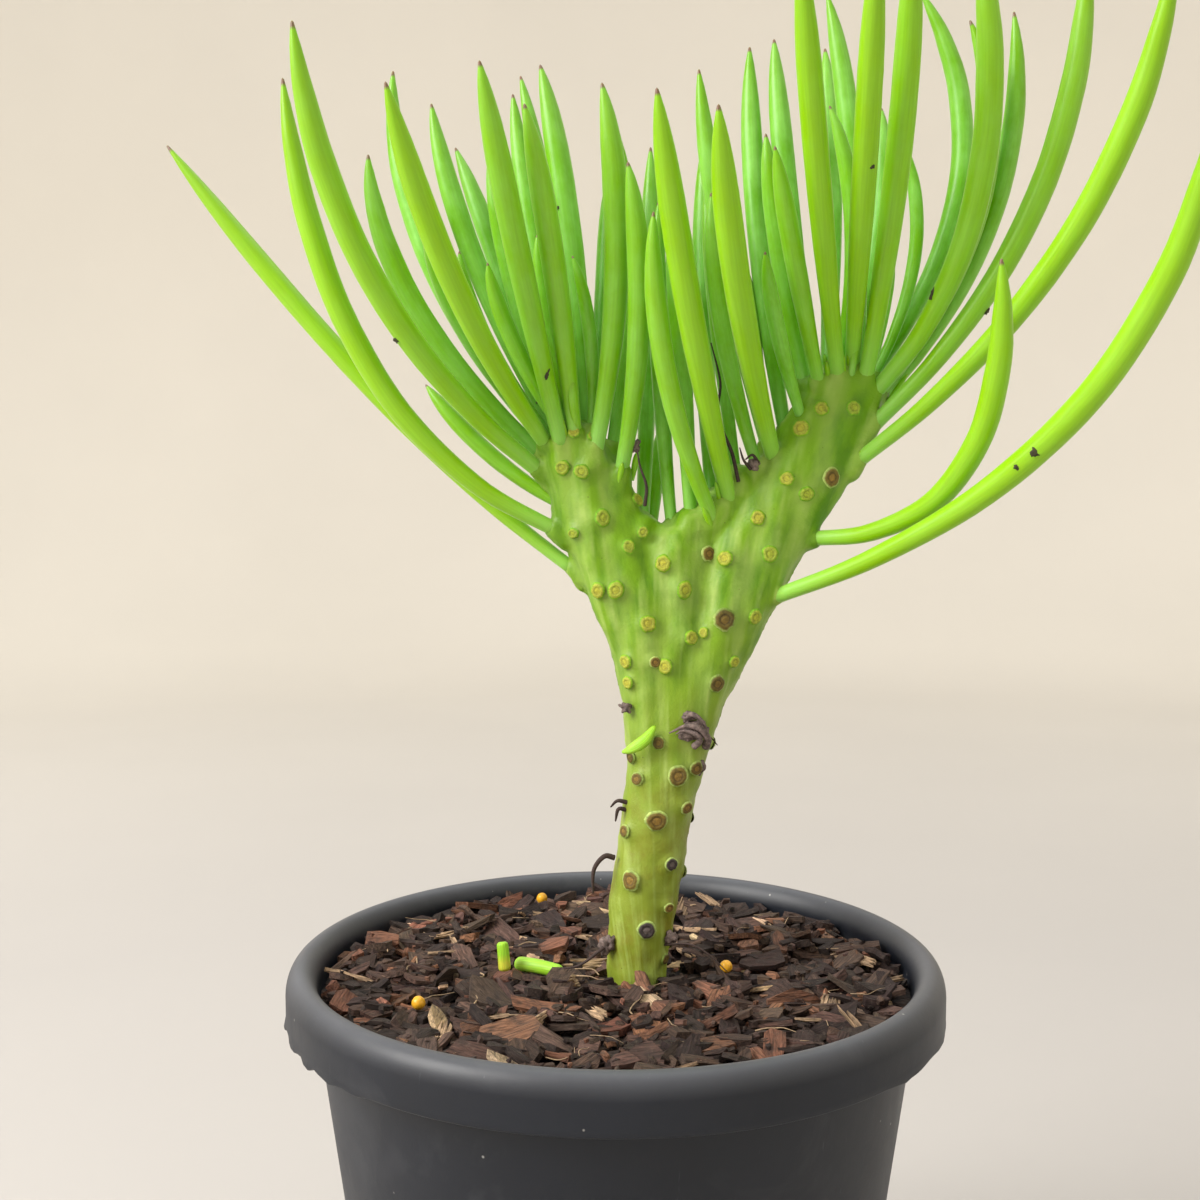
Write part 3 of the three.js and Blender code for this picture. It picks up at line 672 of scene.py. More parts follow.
def leaf_radius(share, radius):
    """Widest past the middle, drawn in at the root and closing to a fine point."""
    swell = ROOT_WIDTH + (1 - ROOT_WIDTH) * math.sin(min(share / WIDEST, 1) * math.pi / 2) ** 1.4
    close = max(0.0, (share - POINT_START) / (1 - POINT_START))
    return radius * swell * max(0.003, 1 - close**2.5) ** 0.8


def leaf_section(rng):
    """A leaf's cross-section: nearly round, a little flatter and grooved on its inner side."""
    inner = rng.uniform(0, 2 * math.pi)
    ridge = rng.uniform(0.01, 0.025)

    def section(angle, share):
        turned = math.cos(angle - inner)
        groove = 0.02 * max(0.0, turned) ** 6 * math.sin(math.pi * min(1, share * 1.1))
        return 1 + ridge * math.cos(2 * (angle - inner)) - groove

    return section


def grow_leaf(loft, name, centres, radius, settings, tone):
    rng = rng_for("leaf", name)
    root = Vector(centres[0]) - (Vector(centres[1]) - Vector(centres[0])).normalized() * settings.buried
    path, _, length = smooth_path([root, *centres], settings.rings)
    shares = np.linspace(0, 1, settings.rings)
    shares = 1 - (1 - shares) ** 1.25
    dense, _, _ = smooth_path([root, *centres], 400)
    places = dense[np.clip((shares * 399).round().astype(int), 0, 399)]
    lumps = [1 + 0.02 * noise.noise(Vector((s * length * 90, 3.1 * rng.random(), 0))) for s in shares]
    radii = np.array([leaf_radius(s, radius) * lump for s, lump in zip(shares, lumps)])
    loft.add(places[:-1], radii[:-1], settings.sides, tone=tone, section=leaf_section(rng))


class CHALKSTICK_OT_leaves(bpy.types.Operator):
    """Grow the long leaves and the young ones between them"""

    bl_idname = "chalkstick.leaves"
    bl_label = "Leaves"

    def execute(self, context):
        settings = context.scene.chalkstick_leaves
        material = leaf_material(settings)
        all_points, all_faces = [], []
        for node in LEAF_NODES:
            centres, radii = ring_path(node)
            # Painted light: the nearer a leaf's point lies to the front, the more sunny green it is given.
            nearness = (SUNNY_FRONT - centres[-1].y) / SUNNY_DEPTH
            tone = min(1.0, max(0.0, nearness + rng_for("tone", node).uniform(-0.12, 0.12)))
            if node in SUNLIT_LEAVES:
                tone = 1.0
            loft = Loft()
            grow_leaf(loft, node, centres, max(radii), settings, tone)
            add_piece(f"{node}_skin", loft.points, loft.faces, material, "leaf_skin", [node], loft.values)
            merge_into((all_points, all_faces), loft.points, loft.faces)
        loft = Loft()
        for index, (root, bend, tip, half) in enumerate(YOUNG_LEAVES):
            places = [FOOT + Vector(p) * MM for p in (root, bend, tip)]
            tone = rng_for("young", index).uniform(0.15, 0.7)
            grow_leaf(loft, f"young{index}", bend_path(*places), half * MM, settings, tone)
        for index in range(settings.buds):
            rng = rng_for("bud", index)
            centres, _ = ring_path(rng.choice(LEAF_NODES))
            ahead = (centres[1] - centres[0]).normalized()
            shift = Vector((rng.uniform(-3, 3), rng.uniform(-1.6, 1.6), rng.uniform(-1.2, 0.6)))
            root = centres[0] + shift * MM
            tip = root + ahead * rng.uniform(2.4, 5) * MM
            bow = bend_path(root, (root + tip) / 2, tip)
            grow_leaf(loft, f"bud{index}", bow, rng.uniform(0.45, 0.8) * MM, settings, 0.8)
        add_piece("young_leaves", loft.points, loft.faces, material, "leaf_skin", values=loft.values)
        self.speck(all_points, all_faces)
        return {"FINISHED"}

    def speck(self, points, faces):
        """Sets small dark specks into the fronts of the leaves."""
        surface = BVHTree.FromPolygons([tuple(p) for p in points], faces)
        store = ([], [])
        for index, (x, z, half_x, half_z) in enumerate(LEAF_SPECKS):
            found = cast_on(surface, FOOT + Vector((x, -120, z)) * MM, Vector((0, 1, 0)))
            if found:
                size = Vector((half_x * SPECK_SIZE, SPECK_DEPTH, half_z * SPECK_SIZE)) * MM
                merge_into(store, *ball(found[0], size, 0.3, 0.8, rng_for("speck", index), 8, 12))
        dark = plain_skin_material("leaf_speck", (0.05, 0.045, 0.02), 0.8, 2000)
        add_piece("leaf_specks", *store, dark, "leaf_skin")


# ---------------------------------------------------------------- stem

# Leaf scars on the stem's front, in mm from its foot: (x, z, width share).
FRESH_SCARS = [
    (-12.5, 95.5, 0.8), (-7, 98.5, 1), (-1.5, 92.5, 0.8), (1.5, 95.5, 0.7), (6, 89, 1), (10, 83.5, 1),
    (19, 90, 1), (28, 91, 1), (25.5, 98.5, 0.9), (-7.5, 83.5, 0.9), (-4, 83.5, 1), (2.5, 76.5, 1),
    (11.5, 73.5, 0.9), (14.5, 74.5, 0.6), (25, 78, 0.9), (20.5, 68.5, 0.8), (6.5, 67.5, 0.9),
    (-1.5, 68.5, 0.9), (-1, 64, 0.8), (-15, 109, 1), (-11, 108, 1), (-12.5, 115.5, 0.8), (-9.5, 114.5, 0.8),
    (0, 102, 0.9), (35.5, 103.5, 1), (34.5, 117, 1), (38.5, 121, 0.9), (45, 121, 0.9), (31.5, 106.5, 0.9),
]
OLD_SCARS = [
    (15, 91, 1.05), (40.5, 107, 1.1), (18.5, 77.5, 1.35), (4, 68.5, 0.75), (17, 64, 1.05), (9, 44.5, 1.2),
    (1, 43.5, 0.9), (4.5, 35, 1.4), (5, 51.5, 0.8), (-1.5, 32, 0.9), (10.5, 37.5, 0.9), (-0.5, 22, 1.1),
    (7, 16, 0.7), (12.6, 46, 0.9), (-0.2, 48, 0.8), (6, 4.5, 0.8),
]
GREY_SCARS = [(7.5, 25.5, 0.9), (2.5, 11.5, 1.2)]
BACK_SCAR_COUNT = 52
# Scars higher than this above the foot, in mm, are fresh on the stem's back, and the least gap between scars.
FRESH_FROM, SCAR_GAP = 52, 4.5
# A scar's rings: (share of its half width, height as a share of it).
SCAR_ZONES = [(0, 0.1), (0.3, 0.12), (0.46, 0.05), (0.6, 0.15), (0.78, 0.13), (0.95, 0.0), (1.12, -0.2)]
SCAR_SIDES = 18
# How uneven a scar's outline and its face are, as shares of its half width.
SCAR_RAGGED, SCAR_LUMP = 0.16, 0.07


def smoothed(points, edges, rounds):
    """Relaxes the points towards the mean of their neighbours."""
    count = np.zeros(len(points))
    np.add.at(count, edges[:, 0], 1)
    np.add.at(count, edges[:, 1], 1)
    for turn in range(rounds):
        total = np.zeros_like(points)
        np.add.at(total, edges[:, 0], points[edges[:, 1]])
        np.add.at(total, edges[:, 1], points[edges[:, 0]])
        pull = 0.5 if turn % 2 == 0 else -0.52
        points = points + pull * (total / count[:, None] - points)
    return points


# Flesh that fills the notches of the crest, in mm from the stem's foot: (x, z, half size).
NOTCH_FILLS = [
    (0.5, 95, 5.2), (13, 96, 5.4), (-3.5, 100, 4.6), (17.5, 100, 5), (-6, 105, 4.2), (22, 105, 4.6),
]
# Flesh that carries a leaf's root on into the stem, in mm: (how far in, half size).
ROOT_FLESH = [(0.9, 1.7), (2.8, 2.3), (4.8, 2.9)]
# How far the skin swells round a leaf's root, in mm, and how high as a share of a scar's cushion.
ROOT_SWELL, ROOT_LIFT = 2.6, 0.35
SCAR_SWELL = 1.8
SMOOTHING_ROUNDS = 44
# Where the furrows fan out from, in mm from the stem's foot: (x, z), and their waves to a radian.
FAN_FOOT, FURROW_WAVES = (6, -45), 92
# Where the trunk begins to turn into crest, and over what height, in mm.
CREST_START, CREST_SPAN = 30, 55
LUMP_HEIGHT = 0.35 * MM


def stem_surface(settings, roots, seats):
    """The stem's fine surface: rounded where its limbs meet, furrowed, and swollen under roots and scars."""
    source = cad_bmesh("stem")
    fills = [(FOOT + Vector((x, 0, z)) * MM, half * MM) for x, z, half in NOTCH_FILLS]
    for root, inward in roots:
        fills += [(root + inward * reach * MM, half * MM) for reach, half in ROOT_FLESH]
    for centre, half in fills:
        spot = Matrix.Translation(centre)
        bmesh.ops.create_icosphere(source, subdivisions=2, radius=half, matrix=spot)
    rough = bpy.data.meshes.new("stem_rough")
    source.to_mesh(rough)
    source.free()
    carrier = bpy.data.objects.new("stem_rough", rough)
    bpy.context.scene.collection.objects.link(carrier)
    cells = carrier.modifiers.new("cells", "REMESH")
    cells.mode = "VOXEL"
    cells.voxel_size = settings.cell
    bpy.context.view_layer.update()
    shaped = carrier.evaluated_get(bpy.context.evaluated_depsgraph_get()).to_mesh()
    points = np.empty(len(shaped.vertices) * 3)
    shaped.vertices.foreach_get("co", points)
    points = points.reshape(-1, 3)
    edges = np.empty(len(shaped.edges) * 2, int)
    shaped.edges.foreach_get("vertices", edges)
    faces = [tuple(polygon.vertices) for polygon in shaped.polygons]
    carrier.evaluated_get(bpy.context.evaluated_depsgraph_get()).to_mesh_clear()
    bpy.data.objects.remove(carrier)
    points = smoothed(points, edges.reshape(-1, 2), SMOOTHING_ROUNDS)

    mesh = bpy.data.meshes.new("stem_shape")
    mesh.from_pydata(points.tolist(), [], faces)
    mesh.update()
    normals = np.empty(len(points) * 3)
    mesh.vertices.foreach_get("normal", normals)
    normals = normals.reshape(-1, 3)
    bpy.data.meshes.remove(mesh)

    local = (points - np.array(FOOT)) / MM
    rise = np.clip((local[:, 2] - CREST_START) / CREST_SPAN, 0, 1)
    across, above = local[:, 0] - FAN_FOOT[0], local[:, 2] - FAN_FOOT[1]
    fan = np.arctan2(across, above)
    wander = np.array([noise.noise(Vector(p) * 0.09) for p in local])
    ribs = np.sin(fan * FURROW_WAVES + wander * 2.6 + np.sign(local[:, 1]) * 1.3)
    lumps = np.array([noise.fractal(Vector(p) * 0.16, 1.0, 2.0, 3) for p in local])
    lift = settings.furrow * ribs * (0.25 + 0.75 * rise) + LUMP_HEIGHT * lumps
    swell = np.zeros(len(points))
    cushions = [(root, ROOT_SWELL, ROOT_LIFT) for root, _ in roots]
    cushions += [(seat, SCAR_SWELL * share, 1.0) for seat, _, share, _ in seats]
    for centre, size, height in cushions:
        gap = np.linalg.norm(points - np.array(centre), axis=1) / (size * MM)
        swell = np.maximum(swell, height * np.exp(-(gap**2)))
    moved = points + normals * (lift + settings.cushion * swell)[:, None]
    values = {
        "rise": rise,
        "furrow": np.clip(-ribs, 0, 1) * rise,
        "cushion": swell,
        "fan": np.column_stack([fan * 120, local[:, 1], np.hypot(across, above)]),
    }
    return moved, faces, values


def cast_on(surface, start, direction):
    hit, normal, _, _ = surface.ray_cast(start, direction)
    return (hit, normal) if hit is not None else None


def scar_seats(surface):
    """Where each scar sits on the stem: place, outward normal, share of the common size and kind."""
    seats = []
    for kind, rows in (("fresh", FRESH_SCARS), ("old", OLD_SCARS), ("grey", GREY_SCARS)):
        for x, z, share in rows:
            start = FOOT + Vector((x * MM, -60 * MM, z * MM))
            found = cast_on(surface, start, Vector((0, 1, 0)))
            if found:
                seats.append((*found, share, kind))
    for index in range(BACK_SCAR_COUNT):
        rng = rng_for("back scar", index)
        height = 6 + 112 * (index + rng.random()) / BACK_SCAR_COUNT
        side = rng.uniform(-1, 1)
        middle = 4 + 0.09 * height + 0.1 * max(0, height - 50)
        spread = 6 + 0.42 * max(0, height - 40)
        aim = FOOT + Vector((middle + side * spread, 0, height)) * MM
        turn = rng.uniform(-0.9, 0.9)
        direction = Vector((math.sin(turn), -math.cos(turn), 0))
        found = cast_on(surface, aim - direction * 80 * MM, direction)
        if found and found[1].y > -0.2 and all((found[0] - s[0]).length > SCAR_GAP * MM for s in seats):
            kind = "fresh" if height > FRESH_FROM else "old"
            seats.append((*found, rng.uniform(0.8, 1.15), kind))
    return seats


def add_scar(store, seat, normal, half, rng):
    """A raised corky ring round a lumpy middle."""
    side = UP.cross(normal).normalized()
    rise = normal.cross(side).normalized()
    first = len(store["points"])
    lean = rng.uniform(-0.3, 0.3)
    tall = rng.uniform(0.85, 1.2)
    for share, height in SCAR_ZONES:
        for step in range(SCAR_SIDES):
            angle = 2 * math.pi * step / SCAR_SIDES
            around = Vector((math.cos(angle) * 2, math.sin(angle) * 2, first * 0.37))
            ragged = 1 + SCAR_RAGGED * noise.noise(around)
            lump = SCAR_LUMP * noise.noise(around * (1 + 2 * share))
            u = math.cos(angle) * share * half * ragged
            v = math.sin(angle) * share * half * tall * ragged
            turned_u = u * math.cos(lean) - v * math.sin(lean)
            turned_v = u * math.sin(lean) + v * math.cos(lean)
            lifted = (height + lump) * half + 0.06 * MM
            store["points"].append(seat + side * turned_u + rise * turned_v + normal * lifted)
            store["zone"].append(min(1.0, share / SCAR_ZONES[-1][0]))
            if share == 0:
                break
    for zone in range(1, len(SCAR_ZONES)):
        for step in range(SCAR_SIDES):
            after = (step + 1) % SCAR_SIDES
            outer = first + 1 + (zone - 1) * SCAR_SIDES
            if zone == 1:
                store["faces"].append((first, outer + step, outer + after))
            else:
                inner = outer - SCAR_SIDES
                store["faces"].append((inner + step, outer + step, outer + after, inner + after))


class CHALKSTICK_OT_stem(bpy.types.Operator):
    """Shape the stem and set its leaf scars"""

    bl_idname = "chalkstick.stem"
    bl_label = "Stem"

    def execute(self, context):
        settings = context.scene.chalkstick_stem
        roots = []
        for node in LEAF_NODES:
            centres, _ = ring_path(node)
            roots.append((centres[0], (centres[0] - centres[1]).normalized()))
        plain, faces, _ = stem_surface(settings, [], [])
        seats = scar_seats(BVHTree.FromPolygons([tuple(p) for p in plain], faces))
        points, faces, values = stem_surface(settings, roots, seats)
        add_piece("stem_skin", points, faces, stem_material(settings), "stem_skin", ["stem"], values)
        surface = BVHTree.FromPolygons([tuple(p) for p in points], faces)
        green = rgba(settings.crest, 1.3)
        pale = rgba(settings.bloom)
        looks = {
            "fresh": (green, (0.43, 0.46, 0.04, 1), (0.47, 0.46, 0.035, 1), 0.72, (0.75, 0.92, 0.7, 1)),
            "old": (pale, (0.19, 0.125, 0.014, 1), (0.29, 0.17, 0.025, 1), 0.4, (0.55, 0.62, 0.4, 1)),
            "grey": (pale, (0.05, 0.035, 0.032, 1), (0.13, 0.1, 0.092, 1), 0.3, (0.8, 0.8, 0.8, 1)),
        }
        for kind, (edge, ring, centre, groove, aged) in looks.items():
            store = {"points": [], "faces": [], "zone": []}
            for index, (seat, normal, share, wanted) in enumerate(seats):
                if wanted == kind:
                    found = cast_on(surface, seat + normal * 4 * MM, -normal)
                    place_on = found[0] if found else seat
                    add_scar(store, place_on, normal, settings.scar_size * share, rng_for("scar", index))
            material = scar_material(f"{kind}_scar", edge, ring, centre, groove, aged)
            zones = {"zone": store["zone"]}
            name = f"{kind}_leaf_scars"
            add_piece(name, store["points"], store["faces"], material, "stem_skin", values=zones)
        return {"FINISHED"}


# ---------------------------------------------------------------- mulch

# Places that the upper chips leave free for the loose bits, in mm: (x, y, radius).
CLEARINGS = [(-16.5, 0, 6.5), (-24, -1.5, 4), (-40, -22, 4.5), (-18, 55, 3.5), (24, 0, 4)]
# From this share of the mulch's depth up, a chip counts as an upper one.
UPPER_LAYER = 0.35
# How far under the stem's foot the lowest chips and the bed lie, and how deep the layer of chips is.
CHIP_DROP, CHIP_DEPTH, BED_DROP = 2.1 * MM, 3.0 * MM, 2.3 * MM
STEM_CLEARING = 6.4 * MM
# The share of chips that are large.
LARGE_CHIPS = 0.09


def flake_points(rng, length, width, thick, sides):
    """A split chip of bark: an angular outline in two layers with a raised back, bowed along its length."""
    outline = []
    for step in range(sides):
        angle = 2 * math.pi * (step + rng.uniform(-0.32, 0.32)) / sides
        squared = max(abs(math.cos(angle)), abs(math.sin(angle))) ** -0.9
        reach = rng.uniform(0.72, 1.1) * squared
        outline.append((0.5 * length * math.cos(angle) * reach, 0.5 * width * math.sin(angle) * reach))
    bow = rng.uniform(-0.022, 0.022) / MM
    twist = rng.uniform(-0.05, 0.05) / MM
    slant = rng.uniform(-0.25, 0.25)
    points = []
    for layer, share in ((-1, 0.93), (1, 0.97)):
        for x, y in outline:
            z = 0.5 * thick * layer * rng.uniform(0.7, 1.3) + bow * x * x + twist * x * y
            inset = share * rng.uniform(0.95, 1.03)
            points.append((x * inset + slant * z, y * inset + slant * z, z))
    points.append((0, 0, -0.5 * thick))
    ridge = length * rng.uniform(-0.2, 0.2)
    points.append((ridge, width * rng.uniform(-0.15, 0.15), 0.5 * thick * rng.uniform(0.7, 1.7)))
    faces = []
    for step in range(sides):
        after = (step + 1) % sides
        faces.append((step, after, after + sides, step + sides))
        faces.append((after, step, 2 * sides))
        faces.append((sides + step, sides + after, 2 * sides + 1))
    return points, faces


def in_clearing(x, y, length):
    return any(math.hypot(x - cx * MM, y - cy * MM) < r * MM + 0.3 * length for cx, cy, r in CLEARINGS)


def strew(store, rng, size, layer, sides, tint, bundle=1):
    """Lays a chip, or a bundle of splinters, on the mulch, clear of the stem, the wall and the loose bits."""
    length, width, thick = size
    radius = (FILL_RADIUS - 1.5 * MM) * math.sqrt(rng.random())
    angle = rng.uniform(0, 2 * math.pi)
    x, y = radius * math.cos(angle), radius * math.sin(angle)
    if math.hypot(x - FOOT.x, y) < STEM_CLEARING + 0.25 * length:
        return
    if layer > UPPER_LAYER and in_clearing(x, y, length):
        return
    steep = rng.random() < 0.22 * layer
    tilt = rng.gauss(0, math.radians(38 if steep else 15))
    turn = Matrix.Rotation(rng.uniform(0, 2 * math.pi), 4, "Z") @ Matrix.Rotation(tilt, 4, "X")
    turn = turn @ Matrix.Rotation(rng.gauss(0, math.radians(12)), 4, "Y")
    height = FOOT.z - CHIP_DROP + layer * CHIP_DEPTH
    height += 0.8 * MM * noise.noise(Vector((x / 0.011, y / 0.011, 0)))
    turn = Matrix.Translation((x, y, height)) @ turn
    for strand in range(bundle):
        points, faces = flake_points(rng, length * rng.uniform(0.7, 1.1), width, thick, sides)
        shift = Vector()
        if bundle > 1:
            shift = Vector((length * rng.uniform(-0.15, 0.15), width * 0.8 * (strand - bundle / 2), 0))
        local = [Vector(p) + shift for p in points]
        placed = [turn @ p for p in local]
        widest = max(math.hypot(p.x, p.y) for p in placed)
        if widest > FILL_RADIUS:
            pull = Vector((x, y, 0)).normalized() * (widest - FILL_RADIUS + 0.2 * MM)
            placed = [p - pull for p in placed]
        first = len(store["points"])
        away = Vector((rng.random(), rng.random(), rng.random()))
        store["points"] += placed
        store["faces"] += [tuple(first + i for i in face) for face in faces]
        store["grain"] += [p + away for p in local]
        shade = rng.uniform(0.85, 1.15)
        store["tint"] += [tuple(min(1, c * shade) for c in tint[:3]) + (1,)] * len(points)


def chip_tint(rng, settings):
    pick = rng.random()
    colour = settings.dark
    if pick > 0.4:
        colour = settings.brown
    if pick > 0.86:
        colour = settings.red
    if pick > 0.975:
        colour = settings.tan
    lift = rng.uniform(0.7, 1.4)
    return tuple(min(1, c * lift * rng.uniform(0.92, 1.08)) for c in colour) + (1,)


def mulch_bed(settings):
    """The crumbly bed under the chips."""
    rings, sides = 40, 120
    radius = FILL_RADIUS - 0.2 * MM
    points, faces = [], []
    for ring in range(rings + 1):
        for side in range(sides):
            angle = 2 * math.pi * side / sides
            reach = radius * ring / rings
            x, y = reach * math.cos(angle), reach * math.sin(angle)
            lump = noise.fractal(Vector((x / 0.004, y / 0.004, 2)), 1.0, 2.0, 3)
            points.append((x, y, FOOT.z - BED_DROP + 0.9 * MM * lump))
    under = MULCH_BOX[0][2]
    lower = 61 * MM
    for side in range(sides):
        angle = 2 * math.pi * side / sides
        points.append((lower * math.cos(angle), lower * math.sin(angle), under))
    points.append((0, 0, under))
    for ring in range(rings + 1):
        for side in range(sides):
            a = ring * sides + side
            b = ring * sides + (side + 1) % sides
            faces.append((a, a + sides, b + sides, b))
    last = len(points) - 1
    for side in range(sides):
        after = (side + 1) % sides
        faces.append(((rings + 1) * sides + after, (rings + 1) * sides + side, last))
    return points, faces


def add_thread(loft, points, half, sides=7, steps=22, taper=0.35):
    path, _, _ = smooth_path([Vector(p) for p in points], steps)
    radii = [half * (1 - (1 - taper) * (i / (steps - 1)) ** 1.5) for i in range(steps)]
    loft.add(path, radii, sides, across=(0.2, 0.93, 0.3))


class CHALKSTICK_OT_mulch(bpy.types.Operator):
    """Fill the pot with bark chips, crumbs and fibres"""

    bl_idname = "chalkstick.mulch"
    bl_label = "Bark mulch"

    def execute(self, context):
        settings = context.scene.chalkstick_mulch
        soil = soil_material("mulch_bed", rgba(settings.dark, 0.6), rgba(settings.brown, 0.8))
        points, faces = mulch_bed(settings)
        add_piece("mulch_bed", points, faces, soil, "bark", ["bark_mulch"])
        bark = bark_material(settings)
        store = {"points": [], "faces": [], "grain": [], "tint": []}
        for index in range(settings.chips):
            rng = rng_for(settings.seed, "chip", index)
            large = rng.random() < LARGE_CHIPS
            length = settings.chip_length * (rng.uniform(1.4, 2.1) if large else rng.uniform(0.5, 1.35))
            width = length * rng.uniform(0.2, 0.62)
            thick = settings.chip_thickness * rng.uniform(0.5, 1.4)
            layer = index / settings.chips
            strew(store, rng, (length, width, thick), layer, 7, chip_tint(rng, settings))
        for index in range(settings.splinters):
            rng = rng_for(settings.seed, "splinter", index)
            length = settings.chip_length * rng.uniform(0.8, 1.5)
            tint = rgba(settings.tan, rng.uniform(0.6, 1.1))
            strew(store, rng, (length, 0.8 * MM, 0.5 * MM), rng.uniform(0.7, 1.1), 5, tint, rng.randint(2, 6))
        values = {"grain": store["grain"], "tint": store["tint"]}
        add_piece("bark_chips", store["points"], store["faces"], bark, "bark", values=values, smooth=False)
        store = {"points": [], "faces": [], "grain": [], "tint": []}
        for index in range(settings.crumbs):
            rng = rng_for(settings.seed, "crumb", index)
            length = rng.uniform(1.2, 3.4) * MM
            size = (length, length * rng.uniform(0.35, 0.9), length * rng.uniform(0.2, 0.5))
            strew(store, rng, size, rng.uniform(0.2, 1.15), 6, chip_tint(rng, settings))
        values = {"grain": store["grain"], "tint": store["tint"]}
        add_piece("bark_crumbs", store["points"], store["faces"], bark, "bark", values=values, smooth=False)
        fibres = Loft()
        for index in range(settings.fibres):
            rng = rng_for(settings.seed, "fibre", index)
            radius = (FILL_RADIUS - 9 * MM) * math.sqrt(rng.random())
            angle = rng.uniform(0, 2 * math.pi)
            heading = rng.uniform(0, 2 * math.pi)
            height = FOOT.z + rng.uniform(0.2, 1.6) * MM
            spot = Vector((radius * math.cos(angle), radius * math.sin(angle), height))
            if (spot.xy - FOOT.xy).length < 9 * MM:
                continue
            path = [spot]
            for _ in range(4):
                heading += rng.uniform(-0.7, 0.7)
                step = Vector((math.cos(heading), math.sin(heading), rng.uniform(-0.25, 0.3)))
                path.append(path[-1] + step * rng.uniform(1.2, 3.2) * MM)
            if max(p.xy.length for p in path) < FILL_RADIUS - 1 * MM:
                add_thread(fibres, path, rng.uniform(0.07, 0.2) * MM)
        straw = plain_skin_material("fibre", (0.36, 0.25, 0.15), 0.8, 900)
        add_piece("bark_fibres", fibres.points, fibres.faces, straw, "bark", values=fibres.values)
        mix = soil_material("potting_mix", (0.02, 0.012, 0.009, 1), (0.06, 0.035, 0.022, 1))
        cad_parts["potting_mix"].data.materials.clear()
        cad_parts["potting_mix"].data.materials.append(mix)
        return {"FINISHED"}


# ---------------------------------------------------------------- loose and withered bits

# Dry threads and stalks in mm from the stem's foot, thick end first, with a half width.
DRY_THREADS = [
    ([(-1.6, -3, 38), (-3.6, -3.5, 38.4), (-5, -3, 37)], 0.5),
    ([(-1.8, -3, 36.4), (-3.4, -3.6, 36.6), (-4, -3.2, 34)], 0.5),
    ([(-4.2, -3, 26), (-6.4, -3.5, 26.4), (-8.6, -4, 23.6), (-8.8, -4, 18.6)], 0.6),
    ([(-5, -4.5, 8.2), (-7.5, -5.5, 6.4), (-11.5, -6, 3.6), (-15, -5.5, 2.6)], 0.45),
    ([(6.5, -4.8, 7.6), (11.5, -7, 8.4), (15.5, -8, 6.6), (19.5, -8.5, 3)], 0.28),
    ([(2, -6.2, 101), (2.3, -7.2, 105), (1, -7.6, 109), (0.4, -7.4, 112)], 0.38),
    ([(21.5, -5, 106), (20, -6, 112), (18, -5, 117), (17.4, -3, 122), (17.9, -1, 127), (16, 0, 135)], 0.42),
    ([(24, -5.5, 108.5), (22.4, -6.4, 110.5), (21.6, -6.2, 113)], 0.35),
    ([(25.5, -5.5, 110), (24.2, -6.6, 111.5), (22.8, -6.8, 110.6)], 0.4),
    ([(12.4, -4.8, 53), (15.6, -6, 52.6), (17.4, -6, 50.8)], 0.25),
]
# Folds of the withered scale, in mm from the stem's foot, thick end first, with a half width.
SCALE_FOLDS = [
    ([(14.9, -5.8, 50.4), (15.2, -7.4, 52.4), (13.6, -8.4, 54.6), (10.6, -8.3, 55.2), (7.2, -7.4, 53.6)],
     0.9),
    ([(12.4, -6.8, 50.6), (13.6, -8.1, 52.2), (12.6, -8.7, 53.6), (10, -8.2, 54.2), (8.6, -7.6, 53.4)], 0.75),
    ([(10.2, -6, 57.2), (12.4, -7.4, 57.4), (14.4, -7.4, 55.6), (15.4, -6.4, 53)], 0.65),
]
# A torn young leaf that lies across the trunk's front, in mm from the stem's foot.
TORN_LEAF = [(-2.6, -6.6, 49.4), (-0.6, -7.9, 50.4), (2, -8.2, 52.2), (4, -7.6, 54.8)]
TORN_LEAF_HALF, TORN_LEAF_RINGS = 1.3, 26
# Wrinkles of the withered scale: how deep, and how many radians to a mm.
FOLD_DEPTH, FOLD_TURNS = 0.25 * MM, 2.6
# Withered leaf stubs: (x, y, z) in mm from the foot, half sizes in mm and lean.
DRY_KNOBS = [
    (-5.6, -4, 7.4, 1.7, 1.9, 0.3),
    (7.8, -4.6, 9, 1.2, 1.3, -0.2),
    (13.6, -4.2, 46, 1.1, 1.5, 0.2),
    (-1.9, -4.6, 58.6, 1.3, 1.0, 0.5),
    (11.2, -6.2, 57, 1.5, 1.2, 0.2),
    (0.2, -5.4, 113.4, 0.8, 1.3, 0.2),
    (24.6, -5.4, 109.6, 1.3, 1.0, 0.6),
]


def ball(centre, half, lean, rough, rng, rows=14, sides=20):
    """A lumpy rounded bit, stretched along its leaning upright axis."""
    points, faces = [], []
    turn = Matrix.Rotation(lean, 3, "Y")
    shift = rng.uniform(0, 9)
    for row in range(rows + 1):
        down = math.pi * row / rows
        for side in range(sides):
            angle = 2 * math.pi * side / sides
            d = Vector((math.sin(down) * math.cos(angle), math.sin(down) * math.sin(angle), math.cos(down)))
            lump = 1 + rough * noise.noise(d * 1.8 + Vector((shift, 0, 0)))
            p = turn @ Vector((d.x * half[0], d.y * half[1], d.z * half[2])) * lump
            points.append(centre + p)
    for row in range(rows):
        for side in range(sides):
            a = row * sides + side
            b = row * sides + (side + 1) % sides
            faces.append((a, a + sides, b + sides, b))
    return points, faces


def flattened(angle, share):
    """The section of the torn leaf, pressed flat against the trunk."""
    return 1 - 0.45 * abs(math.sin(angle))


def merge_into(store, points, faces):
    first = len(store[0])
    store[0].extend(points)
    store[1].extend(tuple(first + i for i in face) for face in faces)


